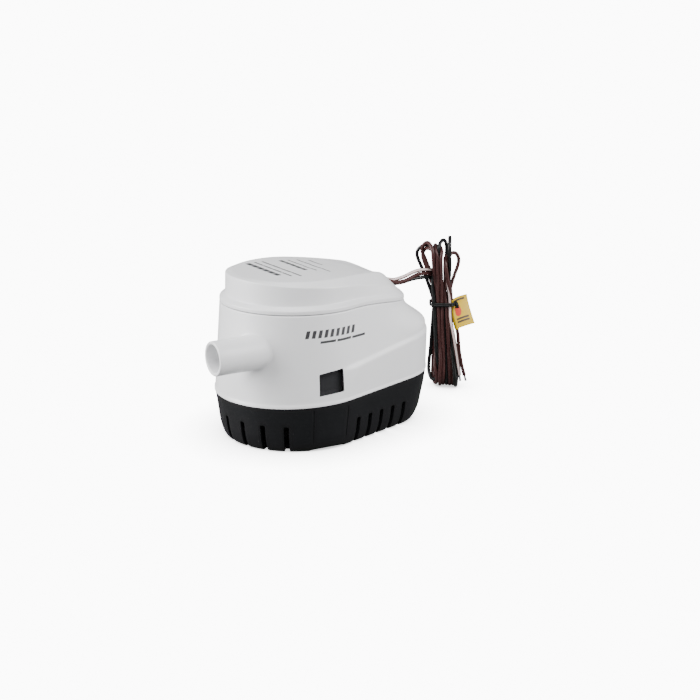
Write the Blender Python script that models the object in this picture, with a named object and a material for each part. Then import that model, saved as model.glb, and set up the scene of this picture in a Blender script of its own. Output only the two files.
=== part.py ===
"""Automatic bilge pump: a slotted strainer base that clips on under a motor housing with a hose
spigot, a glued top cap, a sealed motor that drives an impeller, a float switch in the tail, and
three lead wires tied in an upright hank.

Metres, +Z up.  The origin is on the base's underside, 10 mm towards the tail from the motor's
axis.  +X points to the tail, the spigot points to -X, and -Y is the side that the spigot is offset
to.  Sizes below are millimetres.
"""
import math

import bmesh
import bpy
from mathutils import Matrix, Vector

MM = 0.001

# Plan: every level of the shell is an egg, a nose circle about the motor and a smaller tail circle
MOTOR_X = -10.0
TAIL_STEPS = 14
NOSE_STEPS = 18
FLANK_STEPS = 5
SEAM_EGG = (50.0, 43.5, 37.5)
GROOVE_EGG = (45.9, 28.5, 35.6)
LEDGE_EGG = (42.4, 27.5, 34.6)
EDGE_EGG = (42.0, 25.0, 33.4)
PLATEAU_EGG = (38.0, 27.0, 23.5)
BASE_EGGS = ((0.0, (43.2, 41.0, 30.0)), (0.8, (44.6, 41.2, 31.3)), (3.0, (45.8, 41.5, 32.6)),
             (8.4, (47.3, 42.0, 34.6)))

# Shells
WALL = 2.4
FLOOR = 2.4
GAP = 0.3
LIP_HEIGHT = 2.2
LIP_WALL = 1.6
CREASE_START_X = -12.0
CREASE_LENGTH = 82.0
CREASE_TOP = 0.65
SHELF_Z = (73.8, 75.8)
FLANGE_HEIGHT = 2.4
LEDGE_RISE = 4.5

# Slots, latches and screw pads in the base
SLOT_WIDTH = 3.2
SLOT_TOP = 17.0
SLOT_DEPTH = 8.0
NOSE_SLOT_ANGLES = (180.0, 162.0, 144.5, 127.0)
SIDE_SLOT_XS = (7.5, 17.5, 27.5, 37.5, 47.5)
TAIL_SLOT_ANGLES = (0.0, 20.0, 40.0)
LATCH_ANGLE = 93.8
LATCH_HINGE_R = 41.5
LATCH_HINGE_Z = 4.4
LATCH_LEVELS = ((42.2, 2.9, 7.0), (44.4, 8.4, 7.0), (46.8, 29.6, 7.6), (46.7, 35.0, 11.2),
                (45.8, 48.8, 10.8))
TAB_THICK = 1.8
WINDOW_CUT = (44.0, 54.0)
WINDOW_FACE = 48.9
WINDOW_SPLAY = 0.7
WINDOW_EDGES = ((36.2, 9.8, 0.55), (49.2, 8.9, 0.95))
TAB_SLANT = 1.1
SCREW_PADS = ((-34.0, -22.0), (-34.0, 22.0), (48.0, -17.0), (48.0, 17.0))
PAD_RADIUS = 6.0
PAD_TOP = 3.4
SCREW_HOLE_RADIUS = 2.25

# Water path
SPIGOT_Y = -22.0
SPIGOT_Z = 61.3
SPIGOT_END_X = -78.0
SPIGOT_RADIUS = 10.4
SPIGOT_ROOT_RADIUS = 10.9
SPIGOT_BORE = 8.3
DUCT_INNER = 38.0
DUCT_WALL = 2.0
DUCT_BOTTOM = 31.0
CUP_BOTTOM = 14.0
EYE_RADIUS = 9.0

# Motor
POD_RADIUS = 22.0
POD_WALL = 2.0
POD_BOTTOM = 30.0
POD_TOP = SHELF_Z[1] + GAP + 2.0
CAN_RADIUS = 18.0
CAN_BOTTOM = 32.3
CAN_TOP = 74.0
SHAFT_RADIUS = 1.6
SHAFT_FIT = 0.15
BEARING_RADIUS = 4.0
BRUSH_Z = 68.6
CORE_Z = (43.0, 61.0)
CORE_RADIUS = 12.8
POLES = 5
IMPELLER_RADIUS = 19.0
BLADES = 6

# Float switch
PIVOT = Vector((36.0, 0.0, 34.0))
FLOAT_RADIUS = 26.0
FLOAT_X = 44.0
FLOAT_Z = (14.0, 29.0)
REED_X = 33.6

# Lead wires and their hank.  HANK_TURN turns the hank's broad side; u runs along that side,
# d through the hank and z up.
WIRE = 2.5
GLAND = Vector((58.6, 16.0, 83.8))
GLAND_TURN = 10.0
WIRE_PITCH = 3.3
HANK = Vector((121.0, 25.0, 0.0))
HANK_TURN = -32.5
HANK_DEPTH = 16.0
HANK_RIGHT = ((10.5, 0.3), (11.4, 5.0), (9.5, 36.0), (7.4, 58.0), (9.5, 72.0), (11.8, 88.0))
HANK_TOP = ((8.5, 102.5), (0.0, 105.0), (-11.0, 101.5))
HANK_LEFT = ((-16.6, 90.0), (-11.0, 72.0), (-7.2, 58.0), (-8.0, 36.0), (-9.0, 6.0), (-6.5, 1.5))
HANK_MIDDLE_Z = 52.0
TIE_Z = (57.0, 60.5)
TIE_THICK = 1.1
LEAD_ROUTE = ((63.4, 16.8, 83.8), (69.5, 17.9, 82.3), (77.0, 19.5, 79.8), (86.5, 21.5, 79.7),
              (95.0, 23.2, 81.0), (102.0, 24.7, 81.2))
# Each wire's place in the gland, and its rise above the route at the hank
LEAD_PLACES = {"brown": (-1, 0.0), "striped": (0, 2.65), "black": (1, -2.65)}
INNER_LEAD_Z = {"brown": 85.7, "striped": 84.3, "black": 85.1}
TAILS = {
    "brown": ((10.9, -2.0, 38.0), (12.2, -2.0, 26.0), (14.2, -2.0, 15.0), (16.2, -2.0, 7.6)),
    "striped": ((6.7, -9.9, 42.0), (9.0, -10.0, 30.0), (11.0, -10.0, 18.0), (12.2, -10.0, 10.0)),
    "black": ((3.2, 10.0, 38.0), (3.8, 10.6, 28.0), (4.4, 11.4, 18.0), (5.2, 12.0, 10.0)),
}


def clear_scene():
    for thing in list(bpy.data.objects):
        bpy.data.objects.remove(thing, do_unlink=True)


def material(name, colour, roughness, metallic=0.0):
    made = bpy.data.materials.new(name)
    made.use_nodes = True
    shader = made.node_tree.nodes["Principled BSDF"]
    shader.inputs["Base Color"].default_value = (*colour, 1.0)
    shader.inputs["Roughness"].default_value = roughness
    shader.inputs["Metallic"].default_value = metallic
    made.diffuse_color = (*colour, 1.0)
    return made


def axis_empty(name, place, parent=None):
    """An empty on a joint's axis, at a place in millimetres."""
    empty = bpy.data.objects.new(name, None)
    empty.empty_display_size = 0.01
    empty["place"] = tuple(place)
    empty.parent = parent
    start = Vector(parent["place"]) if parent else Vector()
    empty.location = (Vector(place) - start) * MM
    bpy.context.collection.objects.link(empty)
    return empty


def solid(name, shape, look, parent=None, sharp=35.0):
    """Turn a bmesh in world millimetres into an object whose origin is its parent's place."""
    origin = Vector(parent["place"]) if parent else Vector()
    bmesh.ops.translate(shape, verts=shape.verts, vec=-origin)
    bmesh.ops.scale(shape, verts=shape.verts, vec=(MM, MM, MM))
    bmesh.ops.recalc_face_normals(shape, faces=shape.faces)
    mesh = bpy.data.meshes.new(name)
    shape.to_mesh(mesh)
    shape.free()
    mesh.shade_smooth()
    mesh.set_sharp_from_angle(angle=math.radians(sharp))
    mesh.materials.append(look)
    made = bpy.data.objects.new(name, mesh)
    made.parent = parent
    bpy.context.collection.objects.link(made)
    return made


def combine(target, tool, operation):
    """Cut a hidden tool from a target, or join it to the target."""
    tool.hide_render = True
    tool.display_type = "WIRE"
    modifier = target.modifiers.new(tool.name, "BOOLEAN")
    modifier.object = tool
    modifier.operation = operation
    modifier.solver = "EXACT"


def smooth_step(low, high, value):
    part = min(1.0, max(0.0, (value - low) / (high - low)))
    return part * part * (3.0 - 2.0 * part)


def arc(centre_x, radius, start, end, steps):
    angles = [start + (end - start) * i / (steps - 1) for i in range(steps)]
    return [Vector((centre_x + radius * math.cos(a), radius * math.sin(a))) for a in angles]


def between(start, end):
    return [start.lerp(end, i / (FLANK_STEPS + 1)) for i in range(1, FLANK_STEPS + 1)]


def egg(sizes, inset=0.0):
    """Plan points, counter-clockwise, of a nose circle and a tail circle joined by straight flanks."""
    nose_radius, tail_x, tail_radius = sizes
    lean = math.asin((nose_radius - tail_radius) / (tail_x - MOTOR_X))
    half = math.pi / 2 - lean
    tail = arc(tail_x, tail_radius - inset, -half, half, TAIL_STEPS)
    nose = arc(MOTOR_X, nose_radius - inset, half, 2 * math.pi - half, NOSE_STEPS)
    return tail + between(tail[-1], nose[0]) + nose + between(nose[-1], tail[0])


def level(plan, height):
    """A ring of points: a plan at a height, which is a number or a function of x."""
    return [Vector((p.x, p.y, height(p.x) if callable(height) else height)) for p in plan]


def skin(rings, loop=False):
    """Bridge rings of equal count; the ends are closed unless the rings loop."""
    shape = bmesh.new()
    rows = [[shape.verts.new(point) for point in ring] for ring in rings]
    pairs = list(zip(rows, rows[1:]))
    if loop:
        pairs.append((rows[-1], rows[0]))
    for low, high in pairs:
        for i in range(len(low)):
            j = (i + 1) % len(low)
            shape.faces.new((low[i], low[j], high[j], high[i]))
    if not loop:
        close_end(shape, rows[0], reverse=True)
        close_end(shape, rows[-1], reverse=False)
    return shape


def close_end(shape, row, reverse):
    flat = max(v.co.z for v in row) - min(v.co.z for v in row) < 1e-6
    if flat:
        shape.faces.new(row[::-1] if reverse else row)
        return
    middle = sum((v.co for v in row), Vector()) / len(row)
    centre = shape.verts.new(middle)
    for i in range(len(row)):
        corners = (row[i], row[(i + 1) % len(row)], centre)
        shape.faces.new(corners[::-1] if reverse else corners)


def turned(profile, steps=24, centre=(MOTOR_X, 0.0), loop=False):
    """A shape turned about a vertical axis from (radius, height) points."""
    angles = [2 * math.pi * i / steps for i in range(steps)]
    rings = [[Vector((centre[0] + r * math.cos(a), centre[1] + r * math.sin(a), z)) for a in angles]
             for r, z in profile]
    return skin(rings, loop)


def ring_profile(inner, outer, low, high):
    return ((outer, low), (outer, high), (inner, high), (inner, low))


def rod(start, end, radius, steps=16, end_radius=None):
    """A straight round bar between two points."""
    start, end = Vector(start), Vector(end)
    turn = (end - start).to_track_quat("Z", "Y").to_matrix()
    angles = [2 * math.pi * i / steps for i in range(steps)]
    rings = []
    for centre, size in ((start, radius), (end, end_radius or radius)):
        rings.append([centre + turn @ Vector((size * math.cos(a), size * math.sin(a), 0.0))
                      for a in angles])
    shape = bmesh.new()
    rows = [[shape.verts.new(point) for point in ring] for ring in rings]
    for i in range(steps):
        j = (i + 1) % steps
        shape.faces.new((rows[0][i], rows[0][j], rows[1][j], rows[1][i]))
    shape.faces.new(rows[0][::-1])
    shape.faces.new(rows[1])
    return shape


def block(size, place, turn=None, bevel=0.0):
    """A box of a given size about a place, with its edges bevelled if asked."""
    shape = bmesh.new()
    bmesh.ops.create_cube(shape, size=1.0)
    bmesh.ops.scale(shape, verts=shape.verts, vec=size)
    if bevel:
        bmesh.ops.bevel(shape, geom=shape.edges[:], offset=bevel, segments=1, affect="EDGES")
    bmesh.ops.transform(shape, verts=shape.verts, matrix=Matrix.Translation(place) @ (turn or Matrix()))
    return shape


def joined(shapes):
    """Several closed shapes in one bmesh."""
    whole = bmesh.new()
    for shape in shapes:
        mesh = bpy.data.meshes.new("scratch")
        shape.to_mesh(mesh)
        shape.free()
        whole.from_mesh(mesh)
        bpy.data.meshes.remove(mesh)
    return whole


def turn_z(degrees):
    return Matrix.Rotation(math.radians(degrees), 4, "Z")


def polar(angle, radius, z):
    a = math.radians(angle)
    return Vector((MOTOR_X + radius * math.cos(a), radius * math.sin(a), z))


# Heights of the shell's edges along its length

def seam_height(x):
    return 29.6 + 0.034 * (x - MOTOR_X)


def groove_height(x):
    return 84.5 - 6.0 * min(1.0, max(0.0, (x - 12.0) / 51.0)) ** 1.46


def edge_height(x):
    return 102.5 - 0.085 * (x + 51.0) - 0.0028 * max(0.0, x - 5.0) ** 2


def plateau_height(x):
    return 102.9 - 0.0018 * max(0.0, x - MOTOR_X) ** 2 - 0.02 * max(0.0, x - 38.0) ** 2


def lean_share(x, rise):
    """How far the housing wall has leaned from its seam plan to its groove plan.

    The nose leans all the way up.  Towards the tail the skirt stands upright as far as a crease,
    and the tail's shoulder then curves in above it.
    """
    along = min(1.0, max(0.0, (x - CREASE_START_X) / CREASE_LENGTH))
    crease = CREASE_TOP * along ** 0.65
    above = max(0.0, (rise - crease) / (1.0 - crease))
    tail = smooth_step(30.0, 65.0, x)
    return (1.0 - tail) * above + tail * smooth_step(0.1, 1.0, above)


def wall_level(rise, inset, lift=0.0):
    """A ring of the housing wall, at a share of the way up from the seam to the groove."""
    points = []
    for low, high in zip(egg(SEAM_EGG, inset), egg(GROOVE_EGG, inset)):
        plan = low.lerp(high, lean_share(low.x, rise))
        bottom = seam_height(low.x)
        points.append(Vector((plan.x, plan.y, bottom + rise * (groove_height(high.x) - bottom) + lift)))
    return points


def wall_outline(z, inset):
    """The housing wall's plan at one height."""
    points = []
    for low, high in zip(egg(SEAM_EGG, inset), egg(GROOVE_EGG, inset)):
        bottom = seam_height(low.x)
        rise = (z - bottom) / (groove_height(high.x) - bottom)
        plan = low.lerp(high, lean_share(low.x, rise))
        points.append(Vector((plan.x, plan.y, z)))
    return points


def base_wall(z):
    """The base's outer egg at a height between its last level and the seam."""
    low_z, low = BASE_EGGS[-1]
    share = (z - low_z) / (seam_height(MOTOR_X) - low_z)
    return tuple(a + (b - a) * share for a, b in zip(low, SEAM_EGG))


# Strainer base

def strainer_base(look):
    rim = -GAP / 2
    rings = [level(egg(sizes), z) for z, sizes in BASE_EGGS]
    rings.append(level(egg(base_wall(20.0)), 20.0))
    rings.append(level(egg(SEAM_EGG), lambda x: seam_height(x) + rim))
    lip_out = WALL + GAP
    rings.append(level(egg(SEAM_EGG, lip_out), lambda x: seam_height(x) + rim))
    rings.append(level(egg(SEAM_EGG, lip_out), lambda x: seam_height(x) + LIP_HEIGHT))
    rings.append(level(egg(SEAM_EGG, lip_out + LIP_WALL), lambda x: seam_height(x) + LIP_HEIGHT))
    rings.append(level(egg(SEAM_EGG, lip_out + LIP_WALL), lambda x: seam_height(x) - 1.5))
    rings.append(level(egg(SEAM_EGG, WALL), lambda x: seam_height(x) - 3.2))
    rings.append(level(egg(BASE_EGGS[3][1], WALL), 8.4))
    rings.append(level(egg(BASE_EGGS[2][1], WALL), FLOOR))
    base = solid("strainer_base", skin(rings), look)
    combine(base, solid("pads", joined([pad(x, y) for x, y in SCREW_PADS]), look), "UNION")
    combine(base, solid("screw_holes", joined([
        turned(((SCREW_HOLE_RADIUS, -1.0), (SCREW_HOLE_RADIUS, PAD_TOP + 1.0)), 16, place)
        for place in SCREW_PADS]), look), "DIFFERENCE")
    combine(base, solid("slots", joined(slot_cutters()), look), "DIFFERENCE")
    notches = [block((6.0, 22.0, 8.4), polar(side * LATCH_ANGLE, 44.4, 29.6), turn_z(side * LATCH_ANGLE))
               for side in (-1, 1)]
    combine(base, solid("latch_notches", joined(notches), look), "DIFFERENCE")
    return base


def pad(x, y):
    return turned(((PAD_RADIUS, 1.0), (PAD_RADIUS, PAD_TOP)), 16, (x, y))


def slot_cutters():
    """Slots open at the bottom edge, cut square to the wall all the way round."""
    cutters = []
    height = SLOT_TOP + 1.0
    size = (SLOT_DEPTH + 7.0, SLOT_WIDTH, height)
    middle = height / 2 - 1.0
    for angle in NOSE_SLOT_ANGLES:
        for side in (-1, 1) if angle < 180.0 else (1,):
            cutters.append(block(size, polar(side * angle, 46.0, middle), turn_z(side * angle)))
    nose, tail_x, tail = SEAM_EGG
    lean = math.degrees(math.asin((nose - tail) / (tail_x - MOTOR_X)))
    for angle in TAIL_SLOT_ANGLES:
        for side in (-1, 1) if angle > 0.0 else (1,):
            turn = turn_z(side * angle)
            place = Vector((tail_x, 0.0, middle)) + turn @ Vector((tail - 4.0, 0.0, 0.0))
            cutters.append(block(size, place, turn))
    for x in SIDE_SLOT_XS:
        reach = nose - (x - MOTOR_X) * math.sin(math.radians(lean)) - 4.0
        for side in (-1, 1):
            y = side * reach / math.cos(math.radians(lean))
            cutters.append(block(size, Vector((x, y, middle)), turn_z(side * (90.0 - lean))))
    return cutters


def latch_tab(name, side, look, hinge):
    """A springy arm that stands on the base behind the housing's window.

    Each level gives the outer radius, the height and half the width as an angle.  The top edge
    rises towards the tail.
    """
    rings = []
    for radius, z, half in LATCH_LEVELS:
        slant = TAB_SLANT * smooth_step(LATCH_LEVELS[-2][1], LATCH_LEVELS[-1][1], z)
        places = [(side * (LATCH_ANGLE + half * i / 2), z - slant * i / 2) for i in range(-2, 3)]
        outer = [polar(a, radius, height) for a, height in places]
        inner = [polar(a, radius - TAB_THICK, height) for a, height in reversed(places)]
        rings.append(outer + inner)
    return solid(name, skin(rings), look, hinge)


# Pump housing

def pump_housing(look, parent):
    rises = (0.0, 0.2, 0.4, 0.56, 0.66, 0.74, 0.82, 0.91, 1.0)
    rings = [wall_level(rise, 0.0, GAP / 2 if rise == 0.0 else 0.0) for rise in rises[:-1]]
    rings.append(wall_level(1.0, 0.0, -GAP / 2))
    rings.append(wall_level(1.0, WALL, -GAP / 2))
    rings += [wall_level(rise, WALL) for rise in (0.91, 0.82, 0.7, 0.56, 0.35)]
    rings.append(wall_level(0.0, WALL, GAP / 2))
    housing = solid("pump_housing", skin(rings, loop=True), look, parent)
    shelf = skin([wall_outline(z, 1.2) for z in SHELF_Z])
    combine(housing, solid("shelf", shelf, look, parent), "UNION")
    duct = turned(((DUCT_INNER + DUCT_WALL, DUCT_BOTTOM), (DUCT_INNER + DUCT_WALL, 75.0)), 40)
    combine(housing, solid("duct", duct, look, parent), "UNION")
    combine(housing, solid("spigot", spigot(), look, parent), "UNION")
    ears = [block((14.0, 2.0, 9.8), (32.5, side * 16.0, 36.1)) for side in (-1, 1)]
    combine(housing, solid("float_ears", joined(ears), look, parent), "UNION")
    bore = turned(((DUCT_INNER, DUCT_BOTTOM - 1.0), (DUCT_INNER, SHELF_Z[1] + 1.0)), 40)
    combine(housing, solid("duct_bore", bore, look, parent), "DIFFERENCE")
    port = rod((SPIGOT_END_X - 4.0, SPIGOT_Y, SPIGOT_Z), (-14.0, SPIGOT_Y, SPIGOT_Z), SPIGOT_BORE, 24)
    combine(housing, solid("spigot_bore", port, look, parent), "DIFFERENCE")
    pin_hole = rod(PIVOT - Vector((0, 24, 0)), PIVOT + Vector((0, 24, 0)), 1.8, 12)
    combine(housing, solid("pin_hole", pin_hole, look, parent), "DIFFERENCE")
    windows = joined([window(side) for side in (-1, 1)])
    combine(housing, solid("windows", windows, look, parent), "DIFFERENCE")
    return housing


def spigot():
    """The hose spigot, with a flared root, as a solid bar along X."""
    stations = ((SPIGOT_END_X, SPIGOT_RADIUS - 0.6), (SPIGOT_END_X + 0.6, SPIGOT_RADIUS),
                (-59.0, SPIGOT_RADIUS), (-54.0, 10.6), (-46.0, SPIGOT_ROOT_RADIUS),
                (-28.0, SPIGOT_ROOT_RADIUS))
    shape = turned([(r, x) for x, r in stations], 24, (0.0, 0.0))
    lay_down = Matrix.Translation((0.0, SPIGOT_Y, SPIGOT_Z)) @ Matrix.Rotation(math.pi / 2, 4, "Y")
    bmesh.ops.transform(shape, verts=shape.verts, matrix=lay_down)
    return shape


def window(side):
    """The latch window: wider at its bottom, with both edges rising towards the tail.

    Each edge gives its height, half its width as an angle and half its rise.  The sides splay
    inwards, so that only the tab shows through the window.
    """
    rings = []
    for z, half, rise in WINDOW_EDGES:
        ring = []
        for end, radii in ((-1, WINDOW_CUT), (1, WINDOW_CUT[::-1])):
            for radius in radii:
                splay = WINDOW_SPLAY * (WINDOW_FACE - radius)
                ring.append(polar(side * (LATCH_ANGLE + end * (half + splay)), radius, z - end * rise))
        rings.append(ring)
    return skin(rings)


# Top cap

def top_cap(look, parent):
    small, smaller = (25.0, 14.0, 17.0), (10.0, 2.0, 9.0)
    rings = [
        level(egg(smaller), lambda x: plateau_height(x) - WALL),
        level(egg(small), lambda x: plateau_height(x) - WALL),
        level(egg(PLATEAU_EGG, 1.6), lambda x: plateau_height(x) - WALL),
        level(egg(EDGE_EGG, WALL), lambda x: edge_height(x) - 2.2),
        level(egg(LEDGE_EGG, WALL), lambda x: groove_height(x) + LEDGE_RISE - 1.6),
        level(egg(GROOVE_EGG, WALL + GAP), lambda x: groove_height(x) + 2.0),
        level(egg(GROOVE_EGG, WALL + GAP), lambda x: groove_height(x) + 1.2),
        level(egg(GROOVE_EGG, 0.9), lambda x: groove_height(x) + 1.2),
        level(egg(GROOVE_EGG, 0.9), lambda x: groove_height(x) + GAP),
        level(egg(GROOVE_EGG), lambda x: groove_height(x) + GAP),
        level(egg(GROOVE_EGG), lambda x: groove_height(x) + GAP + FLANGE_HEIGHT),
        level(egg(LEDGE_EGG), lambda x: groove_height(x) + LEDGE_RISE),
        level(egg(EDGE_EGG), lambda x: edge_height(x) - 1.0),
        level(egg(EDGE_EGG, 0.7), edge_height),
        level(egg(PLATEAU_EGG), plateau_height),
        level(egg(small), plateau_height),
        level(egg(smaller), plateau_height),
    ]
    cap = solid("top_cap", skin(rings), look, parent)
    notch = block((14.0, 13.0, 5.2), GLAND, turn_z(GLAND_TURN))
    combine(cap, solid("gland_notch", notch, look, parent), "DIFFERENCE")
    return cap


def cap_gasket(look, parent):
    outer, inner, thick = 1.2, 2.2, 0.9
    rings = [level(egg(GROOVE_EGG, outer), groove_height),
             level(egg(GROOVE_EGG, outer), lambda x: groove_height(x) + thick),
             level(egg(GROOVE_EGG, inner), lambda x: groove_height(x) + thick),
             level(egg(GROOVE_EGG, inner), groove_height)]
    return solid("cap_gasket", skin(rings, loop=True), look, parent)


# Pump chamber and motor pod

def volute_cup(look, parent):
    profile = ((DUCT_INNER + DUCT_WALL, CUP_BOTTOM), (DUCT_INNER + DUCT_WALL, DUCT_BOTTOM - GAP),
               (DUCT_INNER, DUCT_BOTTOM - GAP), (DUCT_INNER, CUP_BOTTOM + 2.0),
               (EYE_RADIUS, CUP_BOTTOM + 2.0), (EYE_RADIUS, CUP_BOTTOM))
    return solid("volute_cup", turned(profile, 40, loop=True), look, parent)


def motor_pod(look, parent):
    hole = 6.3
    profile = ((POD_RADIUS, POD_BOTTOM), (POD_RADIUS, SHELF_Z[1] + GAP), (41.0, SHELF_Z[1] + GAP),
               (41.0, POD_TOP), (POD_RADIUS - POD_WALL, POD_TOP),
               (POD_RADIUS - POD_WALL, POD_BOTTOM + 2.0), (hole, POD_BOTTOM + 2.0), (hole, POD_BOTTOM))
    return solid("motor_pod", turned(profile, 32, loop=True), look, parent)


def pod_lid(look, parent):
    rim_low = POD_TOP + 2.1
    profile = ((POD_RADIUS - POD_WALL - GAP, POD_TOP - 1.0), (POD_RADIUS - POD_WALL - GAP, rim_low),
               (26.0, rim_low), (26.0, rim_low + 2.0))
    return solid("pod_lid", turned(profile, 32), look, parent)


def o_ring(look, parent):
    """The ring that seals the lid to the pod."""
    major, minor = 23.4, 0.75
    shape = turned([(major + minor * math.cos(a), POD_TOP + 1.05 + minor * math.sin(a))
                    for a in [2 * math.pi * i / 6 for i in range(6)]], 32, loop=True)
    return solid("pod_o_ring", shape, look, parent)


def motor_can(look, parent):
    profile = ((CAN_RADIUS, CAN_BOTTOM), (CAN_RADIUS, CAN_TOP), (CAN_RADIUS - 1.0, CAN_TOP),
               (CAN_RADIUS - 1.0, CAN_BOTTOM + 1.2), (BEARING_RADIUS + GAP, CAN_BOTTOM + 1.2),
               (BEARING_RADIUS + GAP, CAN_BOTTOM))
    return solid("motor_can", turned(profile, 28, loop=True), look, parent)


def end_cap(look, parent):
    """The plastic end of the motor, with a channel for each brush."""
    disc = turned(ring_profile(BEARING_RADIUS + GAP, 16.7, 71.6, CAN_TOP), 24, loop=True)
    cap = solid("motor_end_cap", disc, look, parent)
    holders = [block((5.6, 9.4, 6.6), (MOTOR_X, side * 11.4, BRUSH_Z + 0.2)) for side in (-1, 1)]
    combine(cap, solid("holders", joined(holders), look, parent), "UNION")
    channels = [block((3.6, 12.0, 4.6), (MOTOR_X, side * 11.4, BRUSH_Z)) for side in (-1, 1)]
    combine(cap, solid("channels", joined(channels), look, parent), "DIFFERENCE")
    return cap


def magnet(name, side, look, parent):
    """An arc magnet that lines one side of the can."""
    rings = []
    for z in (40.0, 64.0):
        angles = [side * 90.0 - 62.0 + 124.0 * i / 8 for i in range(9)]
        rings.append([polar(a, 16.7, z) for a in angles] + [polar(a, 13.5, z) for a in reversed(angles)])
    return solid(name, skin(rings), look, parent)


def brush_spring(name, side, look, parent):
    """A short coil spring that pushes a brush inward."""
    turns, steps, sides = 3.5, 9, 5
    wire, radius = 0.25, 1.2
    start, end = 12.3, 15.9
    shape = bmesh.new()
    rows = []
    count = int(turns * steps)
    for i in range(count + 1):
        a = 2 * math.pi * i / steps
        y = start + (end - start) * i / count
        outward = Vector((math.cos(a), 0.0, math.sin(a)))
        centre = Vector((MOTOR_X, side * y, BRUSH_Z)) + radius * outward
        ring = [centre + wire * (math.cos(b) * outward + math.sin(b) * Vector((0.0, side, 0.0)))
                for b in [2 * math.pi * k / sides for k in range(sides)]]
        rows.append([shape.verts.new(point) for point in ring])
    for low, high in zip(rows, rows[1:]):
        for i in range(sides):
            j = (i + 1) % sides
            shape.faces.new((low[i], low[j], high[j], high[i]))
    shape.faces.new(rows[0][::-1])
    shape.faces.new(rows[-1])
    return solid(name, shape, look, parent)


def armature_core(look, parent):
    """Laminated core with a slot between each pair of poles."""
    stack = turned(ring_profile(SHAFT_RADIUS + GAP, CORE_RADIUS, *CORE_Z), 40, loop=True)
    core = solid("armature_core", stack, look, parent)
    middle = sum(CORE_Z) / 2
    slots = [block((8.0, 3.4, 24.0), polar(360.0 * i / POLES, 9.6, middle), turn_z(360.0 * i / POLES))
             for i in range(POLES)]
    combine(core, solid("core_slots", joined(slots), look, parent), "DIFFERENCE")
    return core


def armature_windings(look, parent):
    """Copper coils: a bar through each slot and the end turns above and below the core."""
    low, high = CORE_Z
    inner, outer, deep = 2.4, 11.2, 4.0
    bottom = turned(ring_profile(inner, outer, low - GAP - deep, low - GAP), 30, loop=True)
    windings = solid("armature_windings", bottom, look, parent)
    top = turned(ring_profile(inner, outer, high + GAP, high + GAP + deep), 30, loop=True)
    combine(windings, solid("top_turns", top, look, parent), "UNION")
    size = (4.6, 2.6, high - low + deep)
    bars = [block(size, polar(360.0 * i / POLES, 8.6, (low + high) / 2), turn_z(360.0 * i / POLES))
            for i in range(POLES)]
    combine(windings, solid("slot_bars", joined(bars), look, parent), "UNION")
    return windings


def impeller(look, parent):
    """Hub and back disc, with curved blades below the disc and a blind bore for the shaft."""
    profile = ((4.6, 18.0), (4.6, 26.0), (IMPELLER_RADIUS, 26.0), (IMPELLER_RADIUS, 28.0),
               (SHAFT_RADIUS + SHAFT_FIT, 28.0), (SHAFT_RADIUS + SHAFT_FIT, 20.0))
    wheel = solid("impeller", turned(profile, 32), look, parent)
    blades = solid("blades", joined([blade(360.0 * i / BLADES) for i in range(BLADES)]), look, parent)
    combine(wheel, blades, "UNION")
    return wheel


def blade(angle):
    """One backward-curved blade, from the hub to just inside the disc's rim."""
    front, back = [], []
    steps = 5
    for i in range(steps + 1):
        radius = 3.8 + (IMPELLER_RADIUS - 4.4) * i / steps
        sweep = angle - 46.0 * (i / steps) ** 1.2
        half = math.degrees(0.8 / radius)
        front.append(polar(sweep + half, radius, 0.0))
        back.append(polar(sweep - half, radius, 0.0))
    plan = back + front[::-1]
    rings = [[Vector((p.x, p.y, z)) for p in plan] for z in (17.6, 26.8)]
    return skin(rings)


# Float switch

def float_body(look, axis):
    """A D-shaped float on an arm that hangs from the pivot pin."""
    rings = []
    low, high = FLOAT_Z
    bevel, steps = 2.0, 15
    for z, inset in ((low, bevel), (low + bevel, 0.0), (high - bevel, 0.0), (high, bevel)):
        points = arc(FLOAT_X, FLOAT_RADIUS - inset, -math.pi / 2, math.pi / 2, steps)
        for corner in (points[0], points[-1]):
            corner.x += inset
        rings.append([Vector((p.x, p.y, z)) for p in points])
    body = solid("float_body", skin(rings), look, axis)
    arm = block((14.0, 12.0, 6.0), (42.0, 0.0, 29.6), Matrix.Rotation(math.radians(35.0), 4, "Y"))
    combine(body, solid("float_arm", arm, look, axis), "UNION")
    hub = rod(PIVOT - Vector((0, 14.4, 0)), PIVOT + Vector((0, 14.4, 0)), 3.2, 16)
    combine(body, solid("float_hub", hub, look, axis), "UNION")
    hole = rod(PIVOT - Vector((0, 16, 0)), PIVOT + Vector((0, 16, 0)), 1.7, 12)
    combine(body, solid("float_bore", hole, look, axis), "DIFFERENCE")
    return body


def pivot_pin(look, parent):
    """A headed pin through both ears."""
    stations = ((2.6, -18.4), (2.6, -17.4), (1.5, -17.4), (1.5, 17.4), (2.6, 17.4), (2.6, 18.4))
    shape = turned(stations, 12, (0.0, 0.0))
    lay_down = Matrix.Translation(PIVOT) @ Matrix.Rotation(-math.pi / 2, 4, "X")
    bmesh.ops.transform(shape, verts=shape.verts, matrix=lay_down)
    return solid("float_pivot_pin", shape, look, parent)


def reed_pocket(look, parent):
    pocket = solid("reed_pocket", block((6.0, 9.0, 17.0), (REED_X, 0.0, 53.5), bevel=0.6), look, parent)
    cavity = turned(((1.9, 46.5), (1.9, 64.0)), 12, (REED_X, 0.0))
    combine(pocket, solid("reed_cavity", cavity, look, parent), "DIFFERENCE")
    return pocket


def reed_switch(look, parent):
    profile = ((0.35, 46.9), (0.35, 48.0), (1.2, 48.8), (1.2, 58.2), (0.35, 59.0), (0.35, 63.0))
    return solid("reed_switch", turned(profile, 10, (REED_X, 0.0)), look, parent)


# Lead wires, hank, tie and tag

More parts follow.
